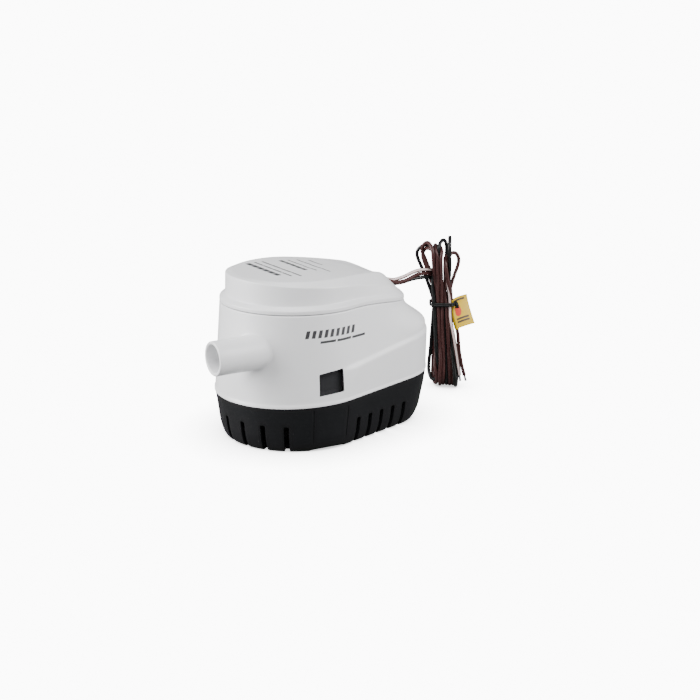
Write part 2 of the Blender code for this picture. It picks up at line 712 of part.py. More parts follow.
def smooth_route(points, spacing):
    """Points at an even spacing along a smooth curve through the route's own points."""
    points = [Vector(p) for p in points]
    padded = [2 * points[0] - points[1]] + points + [2 * points[-1] - points[-2]]
    fine = []
    for a, b, c, d in zip(padded, padded[1:], padded[2:], padded[3:]):
        for i in range(20):
            t = i / 20
            fine.append(0.5 * (2 * b + (c - a) * t + (2 * a - 5 * b + 4 * c - d) * t ** 2
                               + (3 * b - 3 * c + d - a) * t ** 3))
    fine.append(points[-1])
    lengths = [0.0]
    for start, end in zip(fine, fine[1:]):
        lengths.append(lengths[-1] + (end - start).length)
    count = max(2, round(lengths[-1] / spacing))
    route = []
    k = 0
    for i in range(count + 1):
        wanted = lengths[-1] * i / count
        while k < len(fine) - 2 and lengths[k + 1] < wanted:
            k += 1
        step = lengths[k + 1] - lengths[k]
        route.append(fine[k].lerp(fine[k + 1], (wanted - lengths[k]) / step))
    return route


def wire_tube(name, points, look, parent, spacing=2.6 * WIRE):
    """A stretch of wire as a round tube with closed ends."""
    curve = bpy.data.curves.new(name, "CURVE")
    curve.dimensions = "3D"
    curve.bevel_depth = WIRE / 2 * MM
    curve.bevel_resolution = 2
    curve.use_fill_caps = True
    route = smooth_route(points, spacing)
    spline = curve.splines.new("POLY")
    spline.points.add(len(route) - 1)
    for target, point in zip(spline.points, route):
        target.co = (*(point * MM), 1.0)
    curve.materials.append(look)
    made = bpy.data.objects.new(name, curve)
    made.parent = parent
    bpy.context.collection.objects.link(made)
    return made


def hank_point(u, d, z):
    """A place in the hank: u along its broad side, d through it away from the front, z up."""
    return HANK + turn_z(HANK_TURN).to_3x3() @ Vector((u, d, z))


def wire_hank(look, parent):
    """The tied bundle as one solid: its waisted outline, extruded through its thickness."""
    outline = HANK_RIGHT + HANK_TOP + HANK_LEFT
    shape = bmesh.new()
    half = HANK_DEPTH / 2
    rows = []
    for d, inset in ((-half, 2.0), (-half + 2.0, 0.0), (half - 2.0, 0.0), (half, 2.0)):
        middle = Vector((0.0, HANK_MIDDLE_Z))
        row = []
        for u, z in outline:
            flat = Vector((u, z))
            flat += (middle - flat).normalized() * inset
            row.append(shape.verts.new(hank_point(flat.x, d, flat.y)))
        rows.append(row)
    for low, high in zip(rows, rows[1:]):
        for i in range(len(low)):
            j = (i + 1) % len(low)
            shape.faces.new((low[i], low[j], high[j], high[i]))
    shape.faces.new(rows[0][::-1])
    shape.faces.new(rows[-1])
    bmesh.ops.triangulate(shape, faces=[f for f in shape.faces if len(f.verts) > 4])
    return solid("wire_hank", shape, look, parent)


def hank_tie(look, parent):
    """The twist tie: a band round the waist of the hank."""
    rings = []
    low, high = TIE_Z
    left, right = HANK_LEFT[2][0] - 1.0, HANK_RIGHT[3][0] + 0.8
    middle_u, reach_u = (left + right) / 2, (right - left) / 2
    reach_d, corner = HANK_DEPTH / 2 + 0.5, 2.0
    for grow, z in ((0.0, low), (TIE_THICK, low), (TIE_THICK, high), (0.0, high)):
        ring = []
        for quarter in range(4):
            for i in range(4):
                a = math.radians(90.0 * quarter + 30.0 * i)
                side_u = 1 if quarter in (0, 3) else -1
                side_d = 1 if quarter in (0, 1) else -1
                u = middle_u + side_u * (reach_u - corner) + (corner + grow) * math.cos(a)
                d = side_d * (reach_d - corner) + (corner + grow) * math.sin(a)
                ring.append(hank_point(u, d, z))
        rings.append(ring)
    return solid("hank_tie", skin(rings, loop=True), look, parent)


def cord_tag(look, parent):
    """A square label that flags out from the hank below the tie."""
    turn = turn_z(HANK_TURN + 52.0) @ Matrix.Rotation(math.radians(-4.0), 4, "Y")
    return solid("cord_tag", block((17.0, 0.5, 20.0), hank_point(15.8, 6.2, 52.0), turn), look, parent)


def wire_end(name, look, start, end, parent):
    """The stripped and tinned end of a wire."""
    along = (end - start).normalized()
    shape = rod(end + GAP * along, end + (GAP + 4.0) * along, 0.8, 8)
    return solid(name, shape, look, parent)


def wires(looks, pump):
    """The three leads, their inner runs, their free tails and bare ends."""
    outward, sideways, _ = turn_z(GLAND_TURN).to_3x3().col
    for key, (place, rise) in LEAD_PLACES.items():
        outer = []
        for i, point in enumerate(LEAD_ROUTE):
            a = math.pi / 2 * i / (len(LEAD_ROUTE) - 1)
            apart = place * WIRE_PITCH * math.cos(a) * sideways
            outer.append(Vector(point) + apart + Vector((0.0, 0.0, rise * math.sin(a))))
        wire_tube("lead_" + key, outer, looks[key], pump)
        inner_start = GLAND + WIRE_PITCH * place * sideways - 5.0 * outward
        inner = (inner_start, inner_start - 6.0 * outward + Vector((0.0, -0.8 * place, -0.6)),
                 Vector((38.0, 8.0 + 3.6 * place, INNER_LEAD_Z[key])),
                 Vector((20.0, 4.0 + 4.0 * place, 88.0)),
                 Vector((5.0, 4.0 * place, 88.4)), Vector((0.0, 4.0 * place, POD_TOP + 5.1)))
        wire_tube("inner_lead_" + key, inner, looks[key], pump, 3.4 * WIRE)
        tail = [hank_point(*point) for point in TAILS[key]]
        wire_tube("tail_" + key, tail, looks[key], pump)
        wire_end("bare_end_" + key, looks["tinned"], tail[-2], tail[-1], pump)


def gland(look, parent):
    """The rubber block that the three wires leave the cap through."""
    return solid("wire_gland", block((8.6, 12.4, 4.6), GLAND, turn_z(GLAND_TURN), 0.5), look, parent)


def main():
    clear_scene()
    white = material("white_plastic", (0.80, 0.80, 0.81), 0.35)
    black = material("black_plastic", (0.012, 0.012, 0.014), 0.45)
    grey = material("grey_plastic", (0.35, 0.36, 0.38), 0.5)
    steel = material("zinc_steel", (0.55, 0.56, 0.58), 0.3, 1.0)
    core_steel = material("lamination_steel", (0.28, 0.28, 0.30), 0.4, 1.0)
    copper = material("enamelled_copper", (0.48, 0.17, 0.06), 0.35, 1.0)
    bronze = material("sintered_bronze", (0.45, 0.30, 0.14), 0.5, 1.0)
    ferrite = material("ferrite", (0.05, 0.05, 0.055), 0.7)
    carbon = material("carbon", (0.03, 0.03, 0.03), 0.6)
    rubber = material("black_rubber", (0.02, 0.02, 0.02), 0.8)
    foam = material("float_plastic", (0.03, 0.03, 0.035), 0.6)
    glass = material("glass", (0.75, 0.85, 0.80), 0.05)
    tinned = material("tinned_copper", (0.60, 0.60, 0.60), 0.3, 1.0)
    brown = material("brown_wire", (0.09, 0.03, 0.025), 0.4)
    striped = material("striped_wire", (0.30, 0.20, 0.18), 0.4)
    black_wire = material("black_wire", (0.01, 0.01, 0.012), 0.4)
    label = material("yellow_label", (0.85, 0.66, 0.09), 0.5)

    pump = axis_empty("pump_body", (0.0, 0.0, 0.0))
    rotor = axis_empty("rotor_axis", (MOTOR_X, 0.0, 0.0), pump)
    float_axis = axis_empty("float_axis", PIVOT, pump)
    strainer_base(black)
    for name, side in (("left_latch", -1), ("right_latch", 1)):
        hinge = axis_empty(name + "_hinge", polar(side * LATCH_ANGLE, LATCH_HINGE_R, LATCH_HINGE_Z))
        latch_tab(name + "_tab", side, black, hinge)

    pump_housing(white, pump)
    top_cap(white, pump)
    cap_gasket(rubber, pump)
    volute_cup(grey, pump)
    motor_pod(white, pump)
    pod_lid(grey, pump)
    o_ring(rubber, pump)
    gland(rubber, pump)

    motor_can(steel, pump)
    end_cap(grey, pump)
    bore = SHAFT_RADIUS + SHAFT_FIT
    for name, outer, low, high, look in (("lower_bearing", BEARING_RADIUS, 32.6, 37.6, bronze),
                                         ("upper_bearing", BEARING_RADIUS, 71.9, 76.2, bronze),
                                         ("shaft_seal", 6.0, 30.3, 31.9, rubber)):
        solid(name, turned(ring_profile(bore, outer, low, high), 20, loop=True), look, pump)
    solid("seal_retainer", turned(ring_profile(2.6, 8.0, 28.8, 29.7), 24, loop=True), steel, pump)
    for name, side in (("near", -1), ("far", 1)):
        magnet("field_magnet_" + name, side, ferrite, pump)
        solid("brush_" + name, block((3.0, 6.4, 4.0), (MOTOR_X, side * 8.8, BRUSH_Z)), carbon, pump)
        brush_spring("brush_spring_" + name, side, steel, pump)

    solid("motor_shaft", turned(((SHAFT_RADIUS, 20.4), (SHAFT_RADIUS, 76.4)), 16), steel, rotor)
    armature_core(core_steel, rotor)
    armature_windings(copper, rotor)
    segments = turned(ring_profile(SHAFT_RADIUS + GAP, 5.2, 66.0, 71.2), 20, loop=True)
    solid("commutator", segments, copper, rotor)
    impeller(black, rotor)

    float_body(foam, float_axis)
    magnet_place = PIVOT + Vector((0.0, 0.0, 5.1))
    solid("float_magnet", block((5.0, 7.0, 3.0), magnet_place, bevel=0.3), ferrite, float_axis)
    pivot_pin(steel, pump)
    reed_pocket(grey, pump)
    reed_switch(glass, pump)

    looks = {"brown": brown, "striped": striped, "black": black_wire, "tinned": tinned}
    wires(looks, pump)
    wire_hank(brown, pump)
    hank_tie(black_wire, pump)
    cord_tag(label, pump)


main()
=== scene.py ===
"""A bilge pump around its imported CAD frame: moulded shell, latches, lead wires in an upright
hank, and a plain studio.  Sizes are millimetres in the CAD's frame, turned to metres by MM."""
import math

import bmesh
import bpy
import numpy as np
from mathutils import Matrix, Vector
from mathutils.bvhtree import BVHTree


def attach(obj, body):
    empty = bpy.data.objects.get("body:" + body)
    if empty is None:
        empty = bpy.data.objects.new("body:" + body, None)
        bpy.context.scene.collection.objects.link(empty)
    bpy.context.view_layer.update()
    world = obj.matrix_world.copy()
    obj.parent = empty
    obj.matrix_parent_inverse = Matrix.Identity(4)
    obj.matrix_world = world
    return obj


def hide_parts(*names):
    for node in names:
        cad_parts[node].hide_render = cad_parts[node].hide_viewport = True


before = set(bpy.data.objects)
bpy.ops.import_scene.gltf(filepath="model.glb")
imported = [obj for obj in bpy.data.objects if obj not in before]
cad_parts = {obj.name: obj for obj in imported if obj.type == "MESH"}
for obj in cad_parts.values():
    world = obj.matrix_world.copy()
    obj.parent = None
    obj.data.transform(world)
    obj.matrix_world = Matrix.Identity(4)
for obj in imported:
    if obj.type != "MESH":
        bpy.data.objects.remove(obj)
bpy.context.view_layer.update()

MM = 0.001

# Camera: it looks at the target from this azimuth, elevation and distance
TARGET = Vector((30.4, 0.0, 44.9))
AZIMUTH = -32.5
ELEVATION = 15.9
DISTANCE = 858.4
LENS = 69.3

# The shell's plan at each level: an egg of a nose radius, the tail circle's centre and its radius
NOSE_X = -10.0
SEAM_EGG = (50.0, 43.5, 37.5)
GROOVE_EGG = (45.9, 28.5, 35.6)
LEDGE_EGG = (42.4, 27.5, 34.6)
EDGE_EGG = (42.0, 25.0, 33.4)
PLATEAU_EGG = (38.0, 27.0, 23.5)
BASE_EGGS = ((0.0, (43.2, 41.0, 30.0)), (0.8, (44.6, 41.2, 31.3)), (3.0, (45.8, 41.5, 32.6)),
             (8.4, (47.3, 42.0, 34.6)))
TAIL_STEPS, NOSE_STEPS, FLANK_STEPS = 44, 64, 20
WALL = 2.4
FLOOR = 2.4
GAP = 0.3
LIP_HEIGHT, LIP_WALL = 2.2, 1.6
FLANGE_HEIGHT, LEDGE_RISE = 2.4, 4.5
DUCT_INNER, DUCT_OUTER = 38.0, 40.0
PIVOT = Vector((36.0, 0.0, 34.0))

# Wires and hank: u runs along the hank's broad side, d through it away from its front, z up
WIRE = 2.5
GLAND = Vector((58.6, 16.0, 83.8))
GLAND_TURN = 10.0
WIRE_PITCH = 3.3
HANK = Vector((121.0, 25.0, 0.0))
HANK_TURN = -32.5
LEAD_ROUTE = ((63.4, 16.8, 83.8), (69.5, 17.9, 82.3), (77.0, 19.5, 79.8), (86.5, 21.5, 79.7),
              (95.0, 23.2, 81.0), (102.0, 24.7, 81.2))
TIE_Z = 58.7


# Small helpers

def turn_z(degrees):
    return Matrix.Rotation(math.radians(degrees), 4, "Z")


def hank_point(u, d, z):
    return HANK + turn_z(HANK_TURN).to_3x3() @ Vector((u, d, z))


def smooth_step(low, high, value):
    part = min(1.0, max(0.0, (value - low) / (high - low)))
    return part * part * (3.0 - 2.0 * part)


def polar(angle, radius, z, x=NOSE_X):
    a = math.radians(angle)
    return Vector((x + radius * math.cos(a), radius * math.sin(a), z))


def arc(centre_x, radius, start, end, steps):
    angles = [start + (end - start) * i / (steps - 1) for i in range(steps)]
    return [Vector((centre_x + radius * math.cos(a), radius * math.sin(a))) for a in angles]


def between(start, end):
    return [start.lerp(end, i / (FLANK_STEPS + 1)) for i in range(1, FLANK_STEPS + 1)]


def egg(sizes, inset=0.0):
    """Plan points of a nose circle and a tail circle joined by straight flanks."""
    nose_radius, tail_x, tail_radius = sizes
    lean = math.asin((nose_radius - tail_radius) / (tail_x - NOSE_X))
    half = math.pi / 2 - lean
    tail = arc(tail_x, tail_radius - inset, -half, half, TAIL_STEPS)
    nose = arc(NOSE_X, nose_radius - inset, half, 2 * math.pi - half, NOSE_STEPS)
    return tail + between(tail[-1], nose[0]) + nose + between(nose[-1], tail[0])


ACROSS, UP = Vector((0.0, 1.0, 0.0)), Vector((0.0, 0.0, 1.0))


def circle(centre, radius, across, up, steps):
    turns = [2 * math.pi * i / steps for i in range(steps)]
    return [centre + radius * (math.cos(a) * across + math.sin(a) * up) for a in turns]


def level(plan, height):
    return [Vector((p.x, p.y, height(p.x) if callable(height) else height)) for p in plan]


def filleted(rings, radii, steps=4):
    """Rings with a rounded bend at each inner ring that has a radius, or a radius by place."""
    out = [rings[0]]
    for k in range(1, len(rings) - 1):
        if not radii.get(k):
            out.append(rings[k])
            continue
        bend = [[] for _ in range(steps + 1)]
        for low, point, high in zip(rings[k - 1], rings[k], rings[k + 1]):
            back, on = low - point, high - point
            radius = radii[k](point) if callable(radii[k]) else radii[k]
            start = point + back.normalized() * min(radius, 0.45 * back.length)
            end = point + on.normalized() * min(radius, 0.45 * on.length)
            for s in range(steps + 1):
                t = s / steps
                bend[s].append((1 - t) ** 2 * start + 2 * t * (1 - t) * point + t * t * end)
        out += bend
    return out + [rings[-1]]


def skin(rings, loop=False):
    """A bmesh that bridges rings of equal count; the ends are closed unless the rings loop."""
    shape = bmesh.new()
    rows = [[shape.verts.new(p) for p in ring] for ring in rings]
    pairs = list(zip(rows, rows[1:])) + ([(rows[-1], rows[0])] if loop else [])
    for low, high in pairs:
        for i in range(len(low)):
            j = (i + 1) % len(low)
            shape.faces.new((low[i], low[j], high[j], high[i]))
    if not loop:
        for row, flip in ((rows[0], True), (rows[-1], False)):
            centre = shape.verts.new(sum((v.co for v in row), Vector()) / len(row))
            for i in range(len(row)):
                corners = (row[i], row[(i + 1) % len(row)], centre)
                shape.faces.new(corners[::-1] if flip else corners)
    return shape


def turned(profile, steps=64, centre=(NOSE_X, 0.0), loop=False):
    """A shape turned about a vertical axis from (radius, height) points."""
    rings = [circle(Vector((*centre, z)), r, Vector((1.0, 0.0, 0.0)), ACROSS, steps) for r, z in profile]
    return skin(rings, loop)


def block(size, place, turn=None, bevel=0.0, segments=3):
    shape = bmesh.new()
    bmesh.ops.create_cube(shape, size=1.0)
    bmesh.ops.scale(shape, verts=shape.verts, vec=size)
    if bevel:
        bmesh.ops.bevel(shape, geom=shape.edges[:], offset=bevel, segments=segments, profile=0.5,
                        affect="EDGES")
    bmesh.ops.transform(shape, verts=shape.verts, matrix=Matrix.Translation(place) @ (turn or Matrix()))
    return shape


def joined(shapes):
    whole = bmesh.new()
    for shape in shapes:
        mesh = bpy.data.meshes.new("scratch")
        shape.to_mesh(mesh)
        shape.free()
        whole.from_mesh(mesh)
        bpy.data.meshes.remove(mesh)
    return whole


def piece(name, shape, look, body=None, stands_for=(), sharp=35.0):
    """An object from a bmesh in millimetres, riding on a body if one is named."""
    bmesh.ops.scale(shape, verts=shape.verts, vec=(MM, MM, MM))
    bmesh.ops.recalc_face_normals(shape, faces=shape.faces)
    mesh = bpy.data.meshes.new(name)
    shape.to_mesh(mesh)
    shape.free()
    mesh.shade_smooth()
    mesh.set_sharp_from_angle(angle=math.radians(sharp))
    made = bpy.data.objects.new(name, mesh)
    bpy.context.collection.objects.link(made)
    if look:
        mesh.materials.append(look)
    if body:
        settle(made, body, stands_for)
    return made


def settle(made, body, stands_for):
    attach(made, body)
    if stands_for:
        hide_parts(*stands_for)


def combine(target, shape, operation="DIFFERENCE"):
    """Cut a shape from a target, or join it, and keep the result as the target's mesh."""
    tool = piece("tool", shape, None)
    modifier = target.modifiers.new("combine", "BOOLEAN")
    modifier.object = tool
    modifier.operation = operation
    modifier.solver = "EXACT"
    apply_all(target)
    bpy.data.objects.remove(tool, do_unlink=True)


def apply_all(target, sharp=35.0):
    graph = bpy.context.evaluated_depsgraph_get()
    made = bpy.data.meshes.new_from_object(target.evaluated_get(graph))
    target.modifiers.clear()
    old = target.data
    target.data = made
    bpy.data.meshes.remove(old)
    made.shade_smooth()
    made.set_sharp_from_angle(angle=math.radians(sharp))


def soften_edges(target, width, angle=40.0, segments=2):
    """A small round on every sharp edge."""
    modifier = target.modifiers.new("soften", "BEVEL")
    modifier.width = width * MM
    modifier.segments = segments
    modifier.limit_method = "ANGLE"
    modifier.angle_limit = math.radians(angle)
    modifier.harden_normals = False
    apply_all(target, 50.0)


# Materials

def new_look(name, colour, roughness, metallic=0.0, **sockets):
    made = bpy.data.materials.new(name)
    made.use_nodes = True
    shader = made.node_tree.nodes["Principled BSDF"]
    shader.inputs["Base Color"].default_value = (*colour, 1.0)
    shader.inputs["Roughness"].default_value = roughness
    shader.inputs["Metallic"].default_value = metallic
    for key, value in sockets.items():
        shader.inputs[key.replace("_", " ")].default_value = value
    return made


def node(tree, kind, **values):
    made = tree.nodes.new(kind)
    for key, value in values.items():
        if hasattr(made, key):
            setattr(made, key, value)
        else:
            made.inputs[key.replace("_", " ")].default_value = value
    return made


def noise(tree, scale, detail=4.0, roughness=0.5, stretch=(1.0, 1.0, 1.0)):
    """A noise value in the object's own coordinates, with a scale in features per metre."""
    place = node(tree, "ShaderNodeTexCoord")
    mapping = node(tree, "ShaderNodeMapping")
    mapping.inputs["Scale"].default_value = stretch
    tree.links.new(place.outputs["Object"], mapping.inputs["Vector"])
    made = node(tree, "ShaderNodeTexNoise", Scale=scale, Detail=detail, Roughness=roughness)
    tree.links.new(mapping.outputs["Vector"], made.inputs["Vector"])
    return made.outputs["Fac"]


def ranged(tree, value, start, end, low=1.0, high=0.0, **settings):
    """A value between start and end mapped to a value between low and high."""
    made = node(tree, "ShaderNodeMapRange", **settings)
    for name, number in (("From Min", start), ("From Max", end), ("To Min", low), ("To Max", high)):
        made.inputs[name].default_value = number
    tree.links.new(value, made.inputs["Value"])
    return made.outputs["Result"]


def spread(tree, value, low, high):
    """A noise value mapped to a range."""
    return ranged(tree, value, 0.3, 0.7, low, high)


def chained(tree, value, steps, kind="ShaderNodeMath", output="Value"):
    """Math nodes one after another, each with an operation and a second number, or None."""
    for operation, other in steps:
        step = node(tree, kind, operation=operation)
        tree.links.new(value, step.inputs[0])
        if other is not None:
            step.inputs[1].default_value = other
        value = step.outputs[output]
    return value


def printed_over(tree, share, ground, colour):
    """A colour laid over a ground where a share is 1."""
    mixed = node(tree, "ShaderNodeMix", data_type="RGBA")
    tree.links.new(share, mixed.inputs["Factor"])
    tree.links.new(ground, mixed.inputs["A"])
    mixed.inputs["B"].default_value = (*colour, 1.0)
    return mixed.outputs["Result"]


def tint(tree, value, dark, light):
    made = node(tree, "ShaderNodeMix", data_type="RGBA")
    made.inputs["A"].default_value = (*dark, 1.0)
    made.inputs["B"].default_value = (*light, 1.0)
    tree.links.new(value, made.inputs["Factor"])
    return made.outputs["Result"]


def bump(tree, shader, value, distance, strength=1.0):
    made = node(tree, "ShaderNodeBump")
    made.inputs["Strength"].default_value = strength
    made.inputs["Distance"].default_value = distance
    tree.links.new(value, made.inputs["Height"])
    earlier = shader.inputs["Normal"].links
    if earlier:
        tree.links.new(earlier[0].from_socket, made.inputs["Normal"])
    tree.links.new(made.outputs["Normal"], shader.inputs["Normal"])


def moulded(name, colour, roughness, grain, depth, drift=0.04, **sockets):
    """Moulded plastic or rubber: a fine grain, slow waviness and small shifts in tone and gloss."""
    made = new_look(name, colour, roughness, **sockets)
    tree = made.node_tree
    shader = tree.nodes["Principled BSDF"]
    slow = noise(tree, 55.0, 3.0)
    dark = tuple(c * (1.0 - drift) for c in colour)
    light = tuple(min(1.0, c * (1.0 + drift)) for c in colour)
    tree.links.new(tint(tree, spread(tree, slow, 0.0, 1.0), dark, light), shader.inputs["Base Color"])
    gloss = noise(tree, 240.0, 5.0, 0.6)
    tree.links.new(spread(tree, gloss, roughness - 0.05, roughness + 0.06), shader.inputs["Roughness"])
    bump(tree, shader, noise(tree, grain, 3.0, 0.6), depth)
    return made


def metal(name, colour, roughness, stretch=(1.0, 1.0, 1.0), scale=600.0):
    """Metal with a drawn or brushed grain along the axis that is stretched least."""
    made = new_look(name, colour, roughness, 1.0)
    tree = made.node_tree
    shader = tree.nodes["Principled BSDF"]
    grain = noise(tree, scale, 6.0, 0.65, stretch)
    tree.links.new(spread(tree, grain, roughness - 0.08, roughness + 0.12), shader.inputs["Roughness"])
    dark = tuple(c * 0.82 for c in colour)
    light = tuple(min(1.0, c * 1.12) for c in colour)
    tree.links.new(tint(tree, spread(tree, grain, 0.0, 1.0), dark, light), shader.inputs["Base Color"])
    bump(tree, shader, grain, 0.00002)
    return made


STRIPE_HALF, STRIPE_EDGE = 0.07, 0.10


def insulation(name, colour, stripe=None, roughness=0.40):
    """Extruded wire insulation, with a stripe along the wire if one is given."""
    made = moulded(name, colour, roughness, 2600.0, 0.00002, 0.10, Specular_IOR_Level=0.3)
    if not stripe:
        return made
    tree = made.node_tree
    shader = tree.nodes["Principled BSDF"]
    ground = shader.inputs["Base Color"].links[0].from_socket
    uv = node(tree, "ShaderNodeUVMap", uv_map="UVMap")
    axes = node(tree, "ShaderNodeSeparateXYZ")
    tree.links.new(uv.outputs["UV"], axes.inputs["Vector"])
    far = chained(tree, axes.outputs["Y"], (("FRACT", None), ("SUBTRACT", 0.5), ("ABSOLUTE", None)))
    share = ranged(tree, far, STRIPE_HALF, STRIPE_EDGE, interpolation_type="SMOOTHSTEP")
    tree.links.new(printed_over(tree, share, ground, stripe), shader.inputs["Base Color"])
    return made


WHITE = moulded("white_abs", (0.80, 0.80, 0.81), 0.34, 1500.0, 0.00002, 0.012, Coat_Weight=0.10,
                Coat_Roughness=0.25)
BLACK = moulded("black_polypropylene", (0.007, 0.007, 0.008), 0.52, 1900.0, 0.00005, 0.15,
                Specular_IOR_Level=0.14)
TAB = moulded("tab_polypropylene", (0.016, 0.016, 0.018), 0.55, 1400.0, 0.00008, 0.12,
              Specular_IOR_Level=0.2)
GREY = moulded("grey_nylon", (0.30, 0.31, 0.33), 0.5, 1500.0, 0.00004, 0.08)
RUBBER = moulded("black_rubber_look", (0.022, 0.022, 0.022), 0.72, 900.0, 0.00006, 0.2)
FOAM = moulded("float_foam", (0.045, 0.045, 0.05), 0.75, 1100.0, 0.00018, 0.25)
FERRITE = moulded("ferrite_look", (0.05, 0.05, 0.055), 0.66, 800.0, 0.00006, 0.2)
CARBON = moulded("carbon_look", (0.03, 0.03, 0.032), 0.5, 1600.0, 0.00005, 0.25)
STEEL = metal("zinc_steel_look", (0.55, 0.56, 0.58), 0.32, (1.0, 1.0, 0.08))
CORE = metal("lamination_look", (0.30, 0.30, 0.32), 0.42, (0.02, 0.02, 1.0), 1800.0)
COPPER = metal("enamelled_copper_look", (0.50, 0.18, 0.07), 0.34, (0.3, 0.3, 1.0), 1500.0)
BRONZE = metal("sintered_bronze_look", (0.45, 0.30, 0.14), 0.5, scale=2200.0)
TINNED = metal("tinned_copper_look", (0.62, 0.62, 0.63), 0.34, (1.0, 1.0, 0.15), 1200.0)
GLASS = moulded("reed_glass", (0.72, 0.84, 0.80), 0.12, 500.0, 0.00001, 0.05, Transmission_Weight=0.4)
BROWN_WIRE = insulation("brown_insulation", (0.048, 0.016, 0.015))
STRIPED_WIRE = insulation("striped_insulation", (0.052, 0.018, 0.017), (0.74, 0.60, 0.58))
BLACK_WIRE = insulation("black_insulation", (0.004, 0.0045, 0.0045), roughness=0.38)


# Camera

def add_camera():
    azimuth, elevation = math.radians(AZIMUTH), math.radians(ELEVATION)
    back = Vector((math.sin(azimuth) * math.cos(elevation), -math.cos(azimuth) * math.cos(elevation),
                   math.sin(elevation)))
    data = bpy.data.cameras.new("camera")
    data.lens = LENS
    data.sensor_width = 36.0
    data.clip_start, data.clip_end = 0.01, 200.0
    camera = bpy.data.objects.new("camera", data)
    camera.location = (TARGET + DISTANCE * back) * MM
    camera.rotation_mode = "QUATERNION"
    camera.rotation_quaternion = (-back).to_track_quat("-Z", "Y")
    bpy.context.collection.objects.link(camera)
    bpy.context.scene.camera = camera


# Lead wires: each is one wire from its crimp in the gland, through the hank, to its bare end

def smooth_route(points, spacing):
    """Points at an even spacing along a smooth curve through the given points."""
    points = np.asarray(points, float)
    padded = np.vstack([2 * points[0] - points[1], points, 2 * points[-1] - points[-2]])
    fine = []
    for a, b, c, d in zip(padded, padded[1:], padded[2:], padded[3:]):
        for t in np.arange(12) / 12:
            fine.append(0.5 * (2 * b + (c - a) * t + (2 * a - 5 * b + 4 * c - d) * t ** 2
                               + (3 * b - 3 * c + d - a) * t ** 3))
    return evenly(np.vstack([fine, points[-1]]), spacing)


def evenly(fine, spacing):
    reach = np.concatenate([[0.0], np.cumsum(np.linalg.norm(np.diff(fine, axis=0), axis=1))])
    wanted = np.linspace(0.0, reach[-1], max(2, round(reach[-1] / spacing)) + 1)
    return np.column_stack([np.interp(wanted, reach, fine[:, k]) for k in range(3)])


FOLD_RADIUS = 7.5
TOP, BOTTOM = 1, -1


def fold(side, u, z, turn, middle_d=0.0, from_front=True, radius=FOLD_RADIUS):
    """Points round one end fold.  z is its crown, and turn swings its plane from edge-on to
    face-on; the fold starts at its front end or at its back end."""
    a = math.radians(turn)
    out = (math.sin(a) * radius, math.cos(a) * radius)
    centre = z - side * radius
    points = []
    for k in range(7):
        b = math.pi * k / 6
        along = -math.cos(b) if from_front else math.cos(b)
        points.append((u + along * out[0], middle_d + along * out[1], centre + side * radius * math.sin(b)))
    return points


# Where each run of a wire crosses the tie (u, d), in the order in which the wire is wound
ROW = 2.55
FRONT_WINDING = {"brown": True, "striped": True, "black": False}
CROSSINGS = {
    "brown": ((2.4, -2), (-0.5, 2), (-4.3, -1), (-3.1, 1), (-3.1, -2), (4.2, 1), (6.6, 0)),
    "striped": ((-0.6, 0), (-3.1, 2), (-5.9, 0), (-1.8, 1), (-0.5, -2), (1.4, 1), (5.1, -2)),
    "black": ((-4.4, 1), (-5.9, -2), (-5.6, 2), (0.8, -1), (2.1, 2), (3.8, -1), (4.6, 2)),
}
# End folds (u, z of the crown, turn of the plane, d of the middle)
BOTTOM_FOLDS = {
    "brown": ((6.2, 1.3, 6, -1), (-3.9, 2.6, -10, 0), (-0.4, 1.8, 3, -1)),
    "striped": ((8.4, 1.3, 8, -1), (-1.9, 2.4, -6, 0), (1.7, 1.6, 4, -1)),
    "black": ((-5.0, 3.6, -24, 0), (4.0, 1.6, 5, -1), (10.2, 1.3, 10, -4)),
}
TOP_FOLDS = {
    "brown": ((-10.4, 100.8, -24, -2), (-5.0, 99.0, -6, -1), (6.6, 93.5, 38, 0)),
    "striped": ((-9.4, 97.0, -32, 1), (-2.4, 98.4, -2, -1), (2.4, 91.0, 6, -1)),
    "black": ((-11.4, 97.6, -50, 3), (-0.4, 102.2, 26, 0), (4.4, 104.0, 4, 0)),
}
TAILS = {
    "brown": ((8.4, -2.2, 48.0), (10.9, -2.0, 38.0), (12.2, -2.0, 26.0), (14.2, -2.0, 15.0),
              (16.2, -2.0, 7.6)),
    "striped": ((5.2, -8.6, 50.0), (6.7, -9.9, 42.0), (9.0, -10.0, 30.0), (11.0, -10.0, 18.0),
                (12.2, -10.0, 10.0)),
    "black": ((3.6, 9.2, 46.0), (3.2, 10.0, 38.0), (3.8, 10.6, 28.0), (4.4, 11.4, 18.0),
              (5.2, 12.0, 10.0)),
}
LEAD_OFFSETS = {"brown": (-1, 0.0), "striped": (0, 2.65), "black": (1, -2.65)}
ENTRY = {"brown": ((-9.4, -4.4, 80.0), (-5.6, -1.6, 79.2), (-1.8, -0.9, 75.0)),
         "striped": ((-9.4, -4.4, 82.7), (-5.4, -1.6, 81.8), (-1.6, 0.6, 77.6)),
         "black": ((-9.6, -4.2, 77.3), (-7.0, -0.8, 75.8), (-5.4, 1.6, 71.0))}


def lead_points(key):
    """The lead from the gland: side by side there, and one above another at the hank."""
    place, rise = LEAD_OFFSETS[key]
    sideways = turn_z(GLAND_TURN).to_3x3().col[1]
    points = []
    for i, point in enumerate(LEAD_ROUTE):
        a = math.pi / 2 * i / (len(LEAD_ROUTE) - 1)
        apart = place * WIRE_PITCH * math.cos(a) * sideways
        points.append(Vector(point) + apart + Vector((0.0, 0.0, rise * math.sin(a))))
    return points


def eased(start, end, share_u, share_d, z):
    return (start[0] + (end[0] - start[0]) * share_u, start[1] + (end[1] - start[1]) * share_d, z)


